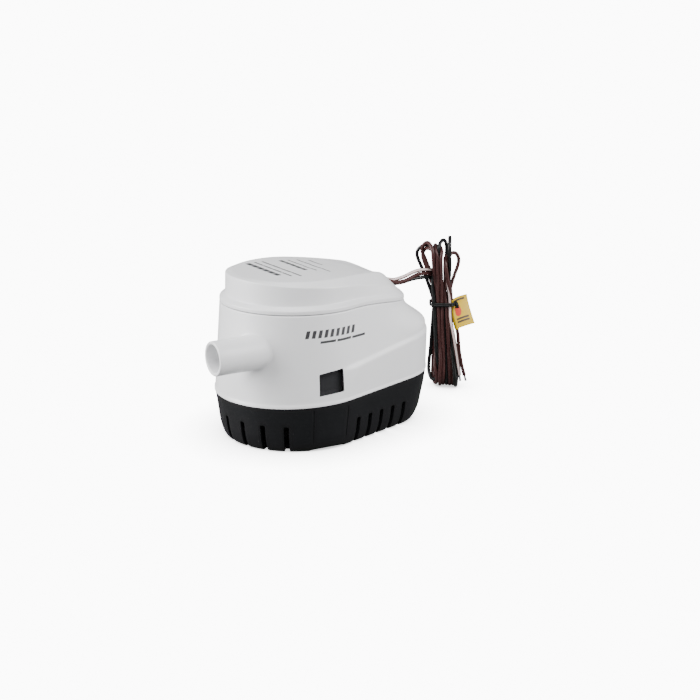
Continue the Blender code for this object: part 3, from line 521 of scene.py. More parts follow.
def wound_points(key):
    """Hank coordinates of a wire's runs and folds, from its entry to its free tail."""
    front = FRONT_WINDING[key]
    tie = [(u, row * ROW) for u, row in CROSSINGS[key]]
    points = list(ENTRY[key])
    for turn in range(3):
        low = fold(BOTTOM, *BOTTOM_FOLDS[key][turn], from_front=front)
        high = fold(TOP, *TOP_FOLDS[key][turn], from_front=not front)
        down, up = tie[2 * turn], tie[2 * turn + 1]
        points += [(*down, TIE_Z), eased(down, low[0], 0.55, 0.35, 34.0)] + low
        points += [eased(up, low[-1], 0.55, 0.35, 34.0), (*up, TIE_Z), eased(up, high[0], 0.35, 0.3, 72.0)]
        points += high
        after = tie[2 * turn + 2]
        points.append(eased(after, high[-1], 0.35, 0.3, 72.0))
    points.append((*tie[6], TIE_Z))
    return points + list(TAILS[key])


def to_hank(point):
    flat = turn_z(-HANK_TURN).to_3x3() @ (Vector(point) - HANK)
    return tuple(flat)


SPACING = 2.4
CLEAR = WIRE + 0.04


def packed_wires():
    """Routes of the three wires in hank coordinates, pushed apart until they only touch."""
    keys = list(CROSSINGS)
    routes = [smooth_route([to_hank(p) for p in lead_points(k)] + wound_points(k), SPACING) for k in keys]
    start = np.cumsum([0] + [len(r) for r in routes])
    place = np.vstack(routes)
    home = place.copy()
    wire = np.concatenate([[k] * len(r) for k, r in enumerate(routes)])
    index = np.arange(len(place))
    z = home[:, 2]
    hold = np.full(len(place), 0.02)
    hold[(z > 84.0) | (z < 12.0)] = 0.06
    fixed = np.zeros(len(place), bool)
    for k, route in enumerate(routes):
        lead = int(np.argmin(np.linalg.norm(route - np.array(to_hank(lead_points(keys[k])[-1])), axis=1)))
        fixed[start[k]:start[k] + lead] = True
        tail = len(route) - int(34.0 / SPACING)
        fixed[start[k] + tail:start[k + 1]] = True
    for turn in range(260):
        if turn % 8 == 0:
            gap = np.linalg.norm(place[:, None] - place[None], axis=2)
            near = (gap < CLEAR + 1.5) & (index[:, None] < index[None])
            near &= (wire[:, None] != wire[None]) | (np.abs(index[:, None] - index[None]) > 5)
            first, second = np.nonzero(near)
        for k in range(len(keys)):
            part = place[start[k]:start[k + 1]]
            bend = part[:-2] - 2 * part[1:-1] + part[2:]
            grad = bend[:-2] - 2 * bend[1:-1] + bend[2:]
            part[2:-2] -= 0.05 * grad
            edge = np.diff(part, axis=0)
            size = np.linalg.norm(edge, axis=1, keepdims=True)
            fix = 0.25 * (size - SPACING) / size * edge
            part[:-1] += fix
            part[1:] -= fix
        place += hold[:, None] * (home - place)
        apart = place[first] - place[second]
        size = np.linalg.norm(apart, axis=1, keepdims=True)
        push = 0.5 * np.clip(CLEAR - size, 0.0, None) / np.maximum(size, 1e-6) * apart
        np.add.at(place, first, 0.8 * push)
        np.add.at(place, second, -0.8 * push)
        waist = np.abs(place[:, 2] - TIE_Z) < 4.0
        squeeze(place, waist & ~fixed)
        place[:, 2] = np.maximum(place[:, 2], WIRE / 2 + 0.05)
        place[fixed] = home[fixed]
    return {key: place[start[k]:start[k + 1]] for k, key in enumerate(keys)}


def squeeze(place, waist):
    """Keep the runs at the tie inside a rounded rectangle."""
    middle, half_u, half_d = 0.2, 6.5, 5.9
    place[waist, 0] = np.clip(place[waist, 0], middle - half_u, middle + half_u)
    place[waist, 1] = np.clip(place[waist, 1], -half_d, half_d)


def stripe_angles(points, along, start_across, away):
    """For each ring, the angle at which the stripe's middle lies: towards the hank's front, or
    turned away from it by a share of half a turn."""
    front = turn_z(HANK_TURN).to_3x3() @ Vector((-0.15, -1.0, 0.35))
    across, angles = start_across.copy(), []
    for k, axis in enumerate(along):
        across = (across - across.dot(axis) * axis).normalized()
        side = axis.cross(across)
        flat = front - front.dot(axis) * axis
        a = math.atan2(flat.dot(side), flat.dot(across))
        if angles:
            a += 2 * math.pi * round((angles[-1] - a) / (2 * math.pi))
        angles.append(a)
    return [a + math.pi * away(k / (len(points) - 1)) for k, a in enumerate(angles)]


def tube(points, radius, sides=14, away=None):
    """A round tube with domed ends along points, with UVs: metres along, turns round."""
    points = [Vector(p) for p in points]
    shape = bmesh.new()
    layer = shape.loops.layers.uv.new("UVMap")
    ahead = [(b - a).normalized() for a, b in zip(points, points[1:])]
    along = [ahead[0]] + [(a + b).normalized() for a, b in zip(ahead, ahead[1:])] + [ahead[-1]]
    across = along[0].orthogonal().normalized()
    rows, reach = [], [0.0]
    middle = stripe_angles(points, along, across, away) if away else [0.0] * len(points)
    for k, (point, axis) in enumerate(zip(points, along)):
        if k:
            across = (across - across.dot(axis) * axis).normalized()
            reach.append(reach[-1] + (point - points[k - 1]).length)
        side = axis.cross(across)
        rows.append([shape.verts.new(p) for p in circle(point, radius, across, side, sides)])
    for k, (low, high) in enumerate(zip(rows, rows[1:])):
        for i in range(sides):
            j = (i + 1) % sides
            face = shape.faces.new((low[i], low[j], high[j], high[i]))
            marks = ((k, i), (k, i + 1), (k + 1, i + 1), (k + 1, i))
            for loop, (at, turn) in zip(face.loops, marks):
                loop[layer].uv = (reach[at] * MM, turn / sides - middle[at] / (2 * math.pi) + 0.5)
    for row, axis, centre in ((rows[0], -along[0], points[0]), (rows[-1], along[-1], points[-1])):
        ring = [shape.verts.new(centre + 0.7 * (v.co - centre) + 0.25 * radius * axis) for v in row]
        tip = shape.verts.new(centre + 0.35 * radius * axis)
        flip = axis is not along[-1]
        for i in range(sides):
            j = (i + 1) % sides
            for corners in ((row[i], row[j], ring[j], ring[i]), (ring[i], ring[j], tip)):
                shape.faces.new(corners[::-1] if flip else corners)
    return shape


def strands(start, end, radius, count=6):
    """A stripped wire end: strands twisted about a middle one."""
    start, end = Vector(start), Vector(end)
    axis = (end - start).normalized()
    across = axis.orthogonal().normalized()
    side = axis.cross(across)
    size = radius / 3.0
    length = (end - start).length
    shapes = [tube([start, start.lerp(end, 0.5), end], size, 10)]
    for i in range(count):
        points = []
        for k in range(13):
            a = 2 * math.pi * (i / count + 0.45 * k / 12)
            points.append(start + axis * length * k / 12
                          + 2.0 * size * (math.cos(a) * across + math.sin(a) * side))
        shapes.append(tube(points, size * 1.02, 10))
    return joined(shapes)


def stripe_away(share):
    """The stripe shows on the lead and on the last run, and faces away in the hank between."""
    return smooth_step(0.055, 0.10, share) * (1.0 - smooth_step(0.895, 0.93, share))


def add_wires():
    looks = {"brown": BROWN_WIRE, "striped": STRIPED_WIRE, "black": BLACK_WIRE}
    routes = packed_wires()
    made = {}
    for key, route in routes.items():
        smooth = smooth_route(route, 0.9)
        points = [hank_point(*p) for p in smooth]
        wire = piece("wire_" + key, tube(points, WIRE / 2, 16, stripe_away if key == "striped" else None),
                     looks[key], "pump", ("lead_" + key, "tail_" + key, "wire_hank"), 60.0)
        along = (points[-1] - points[-2]).normalized()
        tip = points[-1]
        bare = piece("stripped_" + key, strands(tip - 0.4 * along, tip + 4.2 * along, 0.8), TINNED, "pump",
                     ("bare_end_" + key,), 60.0)
        length = sum((b - a).length for a, b in zip(points, points[1:]))
        made[key] = (wire, route, length)
        print(key, "wire length", round(length, 1))
    return routes


add_camera()
ROUTES = add_wires()

# Strainer base

def seam_height(x):
    return 29.6 + 0.034 * (x - NOSE_X)


def groove_height(x):
    return 84.5 - 6.0 * min(1.0, max(0.0, (x - 12.0) / 51.0)) ** 1.46


def edge_height(x):
    return 102.5 - 0.085 * (x + 51.0) - 0.0028 * max(0.0, x - 5.0) ** 2


def plateau_height(x):
    return 102.9 - 0.0018 * max(0.0, x - NOSE_X) ** 2 - 0.02 * max(0.0, x - 38.0) ** 2


SLOT_WIDTH = 3.2
SLOT_TOP = 17.0
NOSE_SLOT_ANGLES = (180.0, 162.0, 144.5, 127.0)
SIDE_SLOT_XS = (7.5, 17.5, 27.5, 37.5, 47.5)
TAIL_SLOT_ANGLES = (0.0, 20.0, 40.0)
LATCH_ANGLE = 93.8
SCREW_PADS = ((-34.0, -22.0), (-34.0, 22.0), (48.0, -17.0), (48.0, 17.0))


def base_wall(z):
    low_z, low = BASE_EGGS[-1]
    share = (z - low_z) / (seam_height(NOSE_X) - low_z)
    return tuple(a + (b - a) * share for a, b in zip(low, SEAM_EGG))


def slot_places():
    """Each slot's middle in plan and the angle of its outward direction."""
    for angle in NOSE_SLOT_ANGLES:
        for side in (-1, 1) if angle < 180.0 else (1,):
            yield polar(side * angle, 46.0, 0.0), side * angle
    nose, tail_x, tail = SEAM_EGG
    lean = math.degrees(math.asin((nose - tail) / (tail_x - NOSE_X)))
    for angle in TAIL_SLOT_ANGLES:
        for side in (-1, 1) if angle > 0.0 else (1,):
            yield polar(side * angle, tail - 4.0, 0.0, tail_x), side * angle
    for x in SIDE_SLOT_XS:
        reach = nose - (x - NOSE_X) * math.sin(math.radians(lean)) - 4.0
        for side in (-1, 1):
            y = side * reach / math.cos(math.radians(lean))
            yield Vector((x, y, 0.0)), side * (90.0 - lean)


def slot_cutter(place, angle):
    """A slot open at the bottom, with a round-cornered top, square to the wall."""
    half, corner = SLOT_WIDTH / 2, 1.0
    plan = [(-half, -1.0)]
    for start, centre in ((180.0, -half + corner), (90.0, half - corner)):
        for i in range(6):
            a = math.radians(start - 18.0 * i)
            plan.append((centre + corner * math.cos(a), SLOT_TOP - corner + corner * math.sin(a)))
    plan.append((half, -1.0))
    turn = turn_z(angle).to_3x3()
    rings = [[place + turn @ Vector((x, y, z)) for y, z in plan] for x in (-7.5, 7.5)]
    return skin(rings)


def add_base():
    rim = -GAP / 2
    lip_out = WALL + GAP
    rings = [level(egg(sizes), z) for z, sizes in BASE_EGGS]
    rings += [level(egg(base_wall(z)), z) for z in (12.0, 16.0, 20.0, 24.0)]
    rings += [
        level(egg(SEAM_EGG), lambda x: seam_height(x) + rim),
        level(egg(SEAM_EGG, lip_out), lambda x: seam_height(x) + rim),
        level(egg(SEAM_EGG, lip_out), lambda x: seam_height(x) + LIP_HEIGHT),
        level(egg(SEAM_EGG, lip_out + LIP_WALL), lambda x: seam_height(x) + LIP_HEIGHT),
        level(egg(SEAM_EGG, lip_out + LIP_WALL), lambda x: seam_height(x) - 1.5),
        level(egg(SEAM_EGG, WALL), lambda x: seam_height(x) - 3.2),
        level(egg(BASE_EGGS[3][1], WALL), 8.4),
        level(egg(BASE_EGGS[2][1], WALL), FLOOR),
    ]
    rounds = {1: 0.6, 2: 2.0, 3: 3.0, 8: 0.35, 10: 0.4, 11: 0.4, 14: 2.0, 15: 1.0}
    base = piece("strainer_base_shell", skin(filleted(rings, rounds)), BLACK)
    bosses = []
    for x, y in SCREW_PADS:
        bosses.append(turned(((6.0, 1.0), (6.0, 3.0), (5.6, 3.4)), 40, (x, y)))
    ribs = [block((2.0, 44.0, 2.4), Vector((x, 0.0, 3.2)), bevel=0.3) for x in (12.0, 28.0)]
    combine(base, joined(bosses + ribs), "UNION")
    holes = [turned(((2.25, -1.0), (2.25, 2.2), (4.3, 3.5), (4.3, 6.0)), 32, (x, y)) for x, y in SCREW_PADS]
    combine(base, joined(holes))
    combine(base, joined([slot_cutter(place, angle) for place, angle in slot_places()]))
    notches = [block((6.0, 22.0, 8.4), polar(side * LATCH_ANGLE, 44.4, 29.6), turn_z(side * LATCH_ANGLE))
               for side in (-1, 1)]
    arches = [block((10.0, 23.0, 4.0), polar(side * LATCH_ANGLE, 46.0, -0.2), turn_z(side * LATCH_ANGLE), 0.8)
              for side in (-1, 1)]
    combine(base, joined(notches + arches + panel_grooves()))
    soften_edges(base, 0.22)
    settle(base, "base", ("strainer_base",))


def panel_grooves():
    """Two shallow grooves that set off the sprung panel below each latch window."""
    grooves = []
    for side in (-1, 1):
        for off in (-13.6, 13.6):
            angle = side * LATCH_ANGLE + off
            rings = []
            for z in (1.0, 8.4, 15.0, 22.0, 27.2):
                radius = base_wall(z)[0] if z > 8.4 else (46.0 if z < 8.0 else 47.3)
                rings.append([polar(angle + da, radius + dr, z)
                              for da, dr in ((-0.45, 1.0), (0.45, 1.0), (0.3, -0.35), (-0.3, -0.35))])
            grooves.append(skin(rings))
    return grooves


# Latch tabs

TAB_SLANT = 1.1
TAB_SLANT_Z = (35.0, 48.8)
TAB_THICK = 1.8
LATCH_LEVELS = ((42.2, 2.9, 7.0), (44.4, 8.4, 7.0), (46.8, 29.6, 7.6), (46.7, 35.0, 11.2),
                (45.8, 48.8, 10.8))


def add_latch_tab(name, side, body):
    """A springy arm whose thumb pad shows in the housing's window, with two raised ribs across the pad."""
    rings = []
    levels = list(LATCH_LEVELS[:-1]) + [(46.6, 36.4, 11.2), (46.35, 40.0, 11.1), (46.05, 44.5, 11.2),
                                        (45.8, 49.0, 11.2), (45.5, 49.4, 11.1)]
    for radius, z, half in levels:
        slant = TAB_SLANT * smooth_step(*TAB_SLANT_Z, z)
        places = [(side * (LATCH_ANGLE + half * i / 8), z - slant * i / 8) for i in range(-8, 9)]
        outer = [polar(a, radius - (0.25 if i in (0, 16) else 0.0), height)
                 for i, (a, height) in enumerate(places)]
        inner = [polar(a, radius - TAB_THICK, height) for a, height in reversed(places)]
        rings.append(outer + inner)
    tab = piece(name, skin(rings), TAB)
    soften_edges(tab, 0.3, 50.0)
    ribs = []
    for z in (38.6, 47.0):
        radius = 46.5 - (z - 38.0) * 0.06
        rise = TAB_SLANT * smooth_step(*TAB_SLANT_Z, z) / LATCH_LEVELS[-1][2]
        bars = []
        for dr, dz in ((-0.4, -0.4), (0.16, -0.25), (0.16, 0.25), (-0.4, 0.4)):
            bars.append([polar(side * (LATCH_ANGLE + a), radius + dr, z + dz - rise * a)
                         for a in np.linspace(-6.6, 6.6, 13)])
        ribs.append(strip(bars))
    combine(tab, joined(ribs), "UNION")
    settle(tab, body, (name.replace("_pad", ""),))


def strip(lines):
    """A closed bar from lines of points that run side by side round it."""
    rings = [[line[k] for line in lines] for k in range(len(lines[0]))]
    return skin(rings)


# Pump housing

SPIGOT_Y, SPIGOT_Z = -22.0, 61.3
SPIGOT_END_X = -78.0
SPIGOT_RADIUS, SPIGOT_BORE = 10.4, 8.3
SHELF_Z = (73.8, 75.8)
CREASE_START_X, CREASE_LENGTH = -12.0, 82.0
BAND_DEPTH = 0.6
BAND_HALF = 0.03
WINDOW_CUT = (43.0, 54.0)
WINDOW_FACE = 48.9
WINDOW_SPLAY, WINDOW_UNDERCUT = 0.7, 0.3
WINDOW_EDGES = ((35.9, 10.5, 0.6), (49.8, 9.7, 1.0))


def band_rise(x):
    """How far up the wall the flank's crease lies."""
    return 0.37 + 0.14 * max(0.0, (x + 5.0) / 58.0) ** 1.3


def lean_share(x, rise):
    """How far the wall has leaned from its seam plan to its groove plan: the nose leans all the
    way, and the tail stands upright up to a softly rounded crease."""
    along = min(1.0, max(0.0, (x - CREASE_START_X) / CREASE_LENGTH))
    crease = smooth_step(-16.0, 12.0, x) * band_rise(x)
    raw = (rise - crease) / (1.0 - crease)
    soft = 0.045 * along
    above = 0.5 * (raw + math.sqrt(raw * raw + soft * soft)) - 0.25 * soft * soft / max(0.3, 1.0 - crease)
    tail = smooth_step(30.0, 65.0, x)
    return (1.0 - tail) * min(1.0, max(0.0, above)) + tail * smooth_step(0.1, 1.0, max(0.0, raw))


def wall_points(inset, rise_at, lift=0.0):
    """The wall's plan; rise_at gives the share of the way up from its seam and groove heights."""
    points = []
    for low, high in zip(egg(SEAM_EGG, inset), egg(GROOVE_EGG, inset)):
        bottom, height = seam_height(low.x), groove_height(high.x) - seam_height(low.x)
        rise = rise_at(bottom, height)
        plan = low.lerp(high, lean_share(low.x, rise))
        points.append(Vector((plan.x, plan.y, bottom + rise * height + lift)))
    return points


def wall_level(rise, inset, lift=0.0):
    return wall_points(inset, lambda bottom, height: rise, lift)


def wall_outline(z, inset):
    return wall_points(inset, lambda bottom, height: (z - bottom) / height)


def embossed(rise):
    """A wall level that stands a little proud below the flank's crease and set back above it."""
    points = wall_level(rise, 0.0)
    out = []
    for before, point, after in zip(points[-1:] + points[:-1], points, points[1:] + points[:1]):
        crease = band_rise(point.x)
        below = BAND_DEPTH * min(1.0, rise / max(0.05, crease))
        above = -BAND_DEPTH * min(1.0, max(0.0, (1.0 - rise) / (1.0 - crease)))
        share = smooth_step(crease - BAND_HALF, crease + BAND_HALF, rise)
        fade = smooth_step(-9.0, 3.0, point.x) * (1.0 - smooth_step(74.0, 80.0, point.x))
        flat = Vector((after.y - before.y, before.x - after.x, 0.0)).normalized()
        out.append(point + flat * fade * (below + (above - below) * share))
    return out


def add_housing():
    """The shell: a raised lip at its foot, the leaning wall, and a plain rim under the cap."""
    lip, lip_height = 0.35, 1.5
    rises = [i / 56 for i in range(57)]
    rings = [wall_level(0.0, 0.35, GAP / 2), wall_level(0.0, -lip, GAP / 2 + 0.3),
             wall_level(0.0, -lip, GAP / 2 + lip_height), wall_level(0.0, 0.0, GAP / 2 + lip_height + 0.5)]
    rings += [embossed(rise) for rise in rises[3:-1]]
    rings += [wall_level(1.0, 0.0, -GAP / 2 - 0.35), wall_level(1.0, 0.35, -GAP / 2),
              wall_level(1.0, WALL, -GAP / 2)]
    rings += [wall_level(rise, WALL) for rise in reversed(rises[2:-2:2])]
    rings.append(wall_level(0.0, WALL, GAP / 2))
    housing = piece("pump_housing_shell", skin(rings, loop=True), WHITE)
    combine(housing, skin([wall_outline(z, 1.2) for z in SHELF_Z]), "UNION")
    combine(housing, turned(((DUCT_OUTER, 31.0), (DUCT_OUTER, 75.0)), 96), "UNION")
    combine(housing, spigot(), "UNION")
    ears = [block((14.0, 2.0, 9.8), (32.5, side * 16.0, 36.1), bevel=0.4) for side in (-1, 1)]
    combine(housing, joined(ears), "UNION")
    combine(housing, turned(((DUCT_INNER, 30.0), (DUCT_INNER, 76.8)), 96))
    combine(housing, spigot_bore())
    pin_hole = turned(((1.8, -24.0), (1.8, 24.0)), 32, (0.0, 0.0))
    bmesh.ops.transform(pin_hole, verts=pin_hole.verts,
                        matrix=Matrix.Translation(PIVOT) @ Matrix.Rotation(math.pi / 2, 4, "X"))
    combine(housing, pin_hole)
    combine(housing, joined([window(side) for side in (-1, 1)]))
    soften_edges(housing, 0.25, 45.0)
    settle(housing, "pump", ("pump_housing",))
    return housing


def wall_x(y, z):
    """The x of the nose's outer wall at a y and z."""
    radius = SEAM_EGG[0] + (GROOVE_EGG[0] - SEAM_EGG[0]) * (z - 29.6) / (84.5 - 29.6)
    return NOSE_X - math.sqrt(max(1.0, radius * radius - y * y))


def spigot():
    """The hose spigot: a rounded mouth, a plain barrel and a small round where it meets the wall."""
    steps, root, flare = 72, 0.7, 10.7
    rings = []
    for x, r in ((SPIGOT_END_X, 9.7), (SPIGOT_END_X + 0.15, 10.1), (SPIGOT_END_X + 0.5, 10.33),
                 (SPIGOT_END_X + 1.0, SPIGOT_RADIUS), (-70.0, SPIGOT_RADIUS), (-62.0, SPIGOT_RADIUS)):
        rings.append(circle(Vector((x, SPIGOT_Y, SPIGOT_Z)), r, ACROSS, UP, steps))
    flow = [[] for _ in range(10)]
    for i in range(steps):
        a = 2 * math.pi * i / steps
        out = Vector((0.0, math.cos(a), math.sin(a)))
        centre = Vector((0.0, SPIGOT_Y, SPIGOT_Z))
        foot, corner = centre + (flare + root) * out, centre + flare * out
        foot.x, corner.x = wall_x(foot.y, foot.z) + 0.12, wall_x(corner.y, corner.z)
        start = centre + (SPIGOT_RADIUS + 0.1) * out
        start.x = corner.x - root - 1.5
        for k in range(10):
            t = (k + 1) / 10
            flow[k].append((1 - t) ** 2 * start + 2 * t * (1 - t) * corner + t * t * foot)
    rings += flow
    rings.append([Vector((p.x + 1.6, p.y, p.z)) for p in flow[-1]])
    rings.append(circle(Vector((-28.0, SPIGOT_Y, SPIGOT_Z)), 10.9, ACROSS, UP, steps))
    return skin(rings)


def spigot_bore():
    shape = turned(((9.0, SPIGOT_END_X - 3.0), (9.0, SPIGOT_END_X), (8.5, SPIGOT_END_X + 0.3),
                    (SPIGOT_BORE, SPIGOT_END_X + 0.9), (SPIGOT_BORE, -14.0)), 64, (0.0, 0.0))
    lay_down = Matrix.Translation((0.0, SPIGOT_Y, SPIGOT_Z)) @ Matrix.Rotation(math.pi / 2, 4, "Y")
    bmesh.ops.transform(shape, verts=shape.verts, matrix=lay_down)
    return shape


def window(side):
    """The latch window: wider at its bottom, with edges that rise towards the tail and sides that
    splay inwards, so that only the tab shows through it."""
    rings = []
    for radius in WINDOW_CUT:
        behind = WINDOW_FACE - radius
        splay, undercut = WINDOW_SPLAY * behind, WINDOW_UNDERCUT * behind
        (low, wide, low_rise), (high, narrow, high_rise) = WINDOW_EDGES
        low, high, wide, narrow = low - undercut, high + undercut, wide + splay, narrow + splay
        corners = ((-wide, low + low_rise), (wide, low - low_rise), (narrow, high - high_rise),
                   (-narrow, high + high_rise))
        ring = []
        for k, corner in enumerate(corners):
            before, after = corners[k - 1], corners[(k + 1) % 4]
            for other, share in ((before, 0.05), (before, 0.02), (after, 0.02), (after, 0.05)):
                pull = 0.0 if share > 0.03 else 0.2
                a = corner[0] + (other[0] - corner[0]) * share
                z = corner[1] + (other[1] - corner[1]) * share
                middle_z = (low + high) / 2
                ring.append(polar(side * (LATCH_ANGLE + a * (1 - pull * 0.06)), radius,
                                  z + (middle_z - z) * pull * 0.04))
        rings.append(ring)
    return skin(rings)


# Top cap

def add_cap():
    small, smaller = (25.0, 14.0, 17.0), (10.0, 2.0, 9.0)
    rings = [
        level(egg(smaller), lambda x: plateau_height(x) - WALL),
        level(egg(small), lambda x: plateau_height(x) - WALL),
        level(egg(PLATEAU_EGG, 1.6), lambda x: plateau_height(x) - WALL),
        level(egg(EDGE_EGG, WALL), lambda x: edge_height(x) - 2.2),
        level(egg(LEDGE_EGG, WALL), lambda x: groove_height(x) + LEDGE_RISE - 1.6),
        level(egg(GROOVE_EGG, WALL + GAP), lambda x: groove_height(x) + 1.6),
        level(egg(GROOVE_EGG, 0.9), lambda x: groove_height(x) + 1.2),
        level(egg(GROOVE_EGG, 0.9), lambda x: groove_height(x) + GAP),
        level(egg(GROOVE_EGG), lambda x: groove_height(x) + GAP),
        level(egg(GROOVE_EGG), lambda x: groove_height(x) + GAP + FLANGE_HEIGHT),
        level(egg(LEDGE_EGG), lambda x: groove_height(x) + LEDGE_RISE),
        level(egg(EDGE_EGG), edge_height),
        level(egg(PLATEAU_EGG), plateau_height),
        level(egg(small), plateau_height),
        level(egg(smaller), plateau_height),
    ]
    rounds = {8: 0.35, 9: 0.7, 10: 0.8, 11: 0.8,
              12: lambda point: 0.9 + 2.8 * smooth_step(36.0, 50.0, point.x)}
    cap = piece("top_cap_shell", skin(thicken(filleted(rings, rounds, 6))), WHITE)
    notch = block((14.0, 13.0, 5.2), GLAND, turn_z(GLAND_TURN), 0.6)
    combine(cap, notch)
    soften_edges(cap, 0.25, 45.0)
    settle(cap, "pump", ("top_cap",))
    return cap


def thicken(rings, longest=4.0):
    """More rings where two neighbours are far apart, so that long faces stay smooth."""
    out = [rings[0]]
    for low, high in zip(rings, rings[1:]):
        far = max((a - b).length for a, b in zip(low, high))
        steps = max(1, int(far / longest))
        out += [[a.lerp(b, k / steps) for a, b in zip(low, high)] for k in range(1, steps + 1)]
    return out


def add_gland():
    """The rubber block the wires leave through, with a tapered collar round each wire."""
    outward, sideways, _ = turn_z(GLAND_TURN).to_3x3().col
    gland = piece("gland_block", block((8.6, 12.4, 4.6), GLAND, turn_z(GLAND_TURN), 0.9, 4), RUBBER)
    for place in (-1, 0, 1):
        start = GLAND + outward * 3.4 + sideways * WIRE_PITCH * place
        rings = []
        for along, radius in ((0.0, 1.62), (1.6, 1.62), (2.6, 1.55), (4.6, 1.42), (4.9, 1.3)):
            rings.append(circle(start + outward * along, radius, sideways, UP, 28))
        combine(gland, skin(rings), "UNION")
    settle(gland, "pump", ("wire_gland",))


# Tie and tag on the hank

def hull(points):
    """The convex outline of plan points, counter-clockwise."""
    points = sorted(set(map(tuple, points)))

    def half(ordered):
        out = []
        for p in ordered:
            while len(out) > 1 and ((out[-1][0] - out[-2][0]) * (p[1] - out[-2][1])
                                    - (out[-1][1] - out[-2][1]) * (p[0] - out[-2][0])) <= 0:
                out.pop()
            out.append(p)
        return out[:-1]
    return half(points) + half(points[::-1])


def round_the_runs(low, high, reach, count=72):
    """Points (u, d) round every wire between two heights, at a reach from the wires' middles."""
    near = np.vstack([r[(r[:, 2] > low) & (r[:, 2] < high)][:, :2] for r in ROUTES.values()])
    near = near[(np.abs(near[:, 0]) < 12.0) & (np.abs(near[:, 1]) < 8.0)]
    corners = np.array(hull(near))
    out = []
    for k in range(count):
        a = 2 * math.pi * k / count
        way = np.array((math.cos(a), math.sin(a)))
        out.append(corners[np.argmax(corners @ way)] + reach * way)
    return out


def add_tie():
    """A twist tie: two turns round the waist and its ends twisted together at the right."""
    radius = 0.75
    ring = round_the_runs(TIE_Z - 3.0, TIE_Z + 3.0, WIRE / 2 + radius + 0.15)
    points = []
    turns = 2
    for k in range(turns * len(ring) + 1):
        u, d = ring[k % len(ring)]
        climb = 2.2 * k / (turns * len(ring))
        points.append(hank_point(u, d, TIE_Z - 1.1 + climb + 0.25 * math.sin(0.35 * k)))
    band = tube(smooth_route(points, 0.6), radius, 10)
    start = Vector(points[0])
    outward = (start - hank_point(0.0, 0.0, start.z)).normalized()
    forward = turn_z(HANK_TURN).to_3x3() @ Vector((0.0, -1.0, 0.0))
    twists = []
    for phase in (0.0, math.pi):
        path = []
        for k in range(33):
            t = k / 32
            centre = start + outward * (0.3 + 0.9 * t) + forward * (0.4 + 2.6 * t)
            centre += Vector((0, 0, 1.0 - 2.2 * t * t))
            a = phase + 5.2 * math.pi * t
            path.append(centre + 0.8 * (math.cos(a) * outward + math.sin(a) * Vector((0, 0, 1))))
        twists.append(tube(path, radius, 10))
    tie = piece("twist_tie", joined([band] + twists), BLACK_WIRE, "pump", ("hank_tie",), 60.0)
    return tie


def label_look():
    """Yellow label stock with a plain red disc and a few plain dark bars."""
    made = moulded("label_stock", (0.62, 0.40, 0.001), 0.46, 1200.0, 0.00003, 0.05)
    tree = made.node_tree
    shader = tree.nodes["Principled BSDF"]
    uv = node(tree, "ShaderNodeUVMap", uv_map="UVMap")
    colour = shader.inputs["Base Color"].links[0].from_socket
    marks = [((0.42, 0.56), (0.0, 0.0), 0.17, (0.60, 0.04, 0.015))]
    marks += [((0.55, z), (0.28, 0.012), 0.012, (0.05, 0.03, 0.02)) for z in (0.90, 0.30, 0.20)]
    for (u, v), (half_u, half_v), radius, ink in marks:
        steps = (("SUBTRACT", (u, v, 0.0)), ("ABSOLUTE", None), ("SUBTRACT", (half_u, half_v, 0.0)),
                 ("MAXIMUM", (0.0, 0.0, 0.0)))
        beyond = chained(tree, uv.outputs["UV"], steps, "ShaderNodeVectorMath", "Vector")
        far = chained(tree, beyond, (("LENGTH", None),), "ShaderNodeVectorMath")
        colour = printed_over(tree, ranged(tree, far, radius, radius + 0.015), colour, ink)
    tree.links.new(colour, shader.inputs["Base Color"])
    return made


LEAF_APART = 0.16


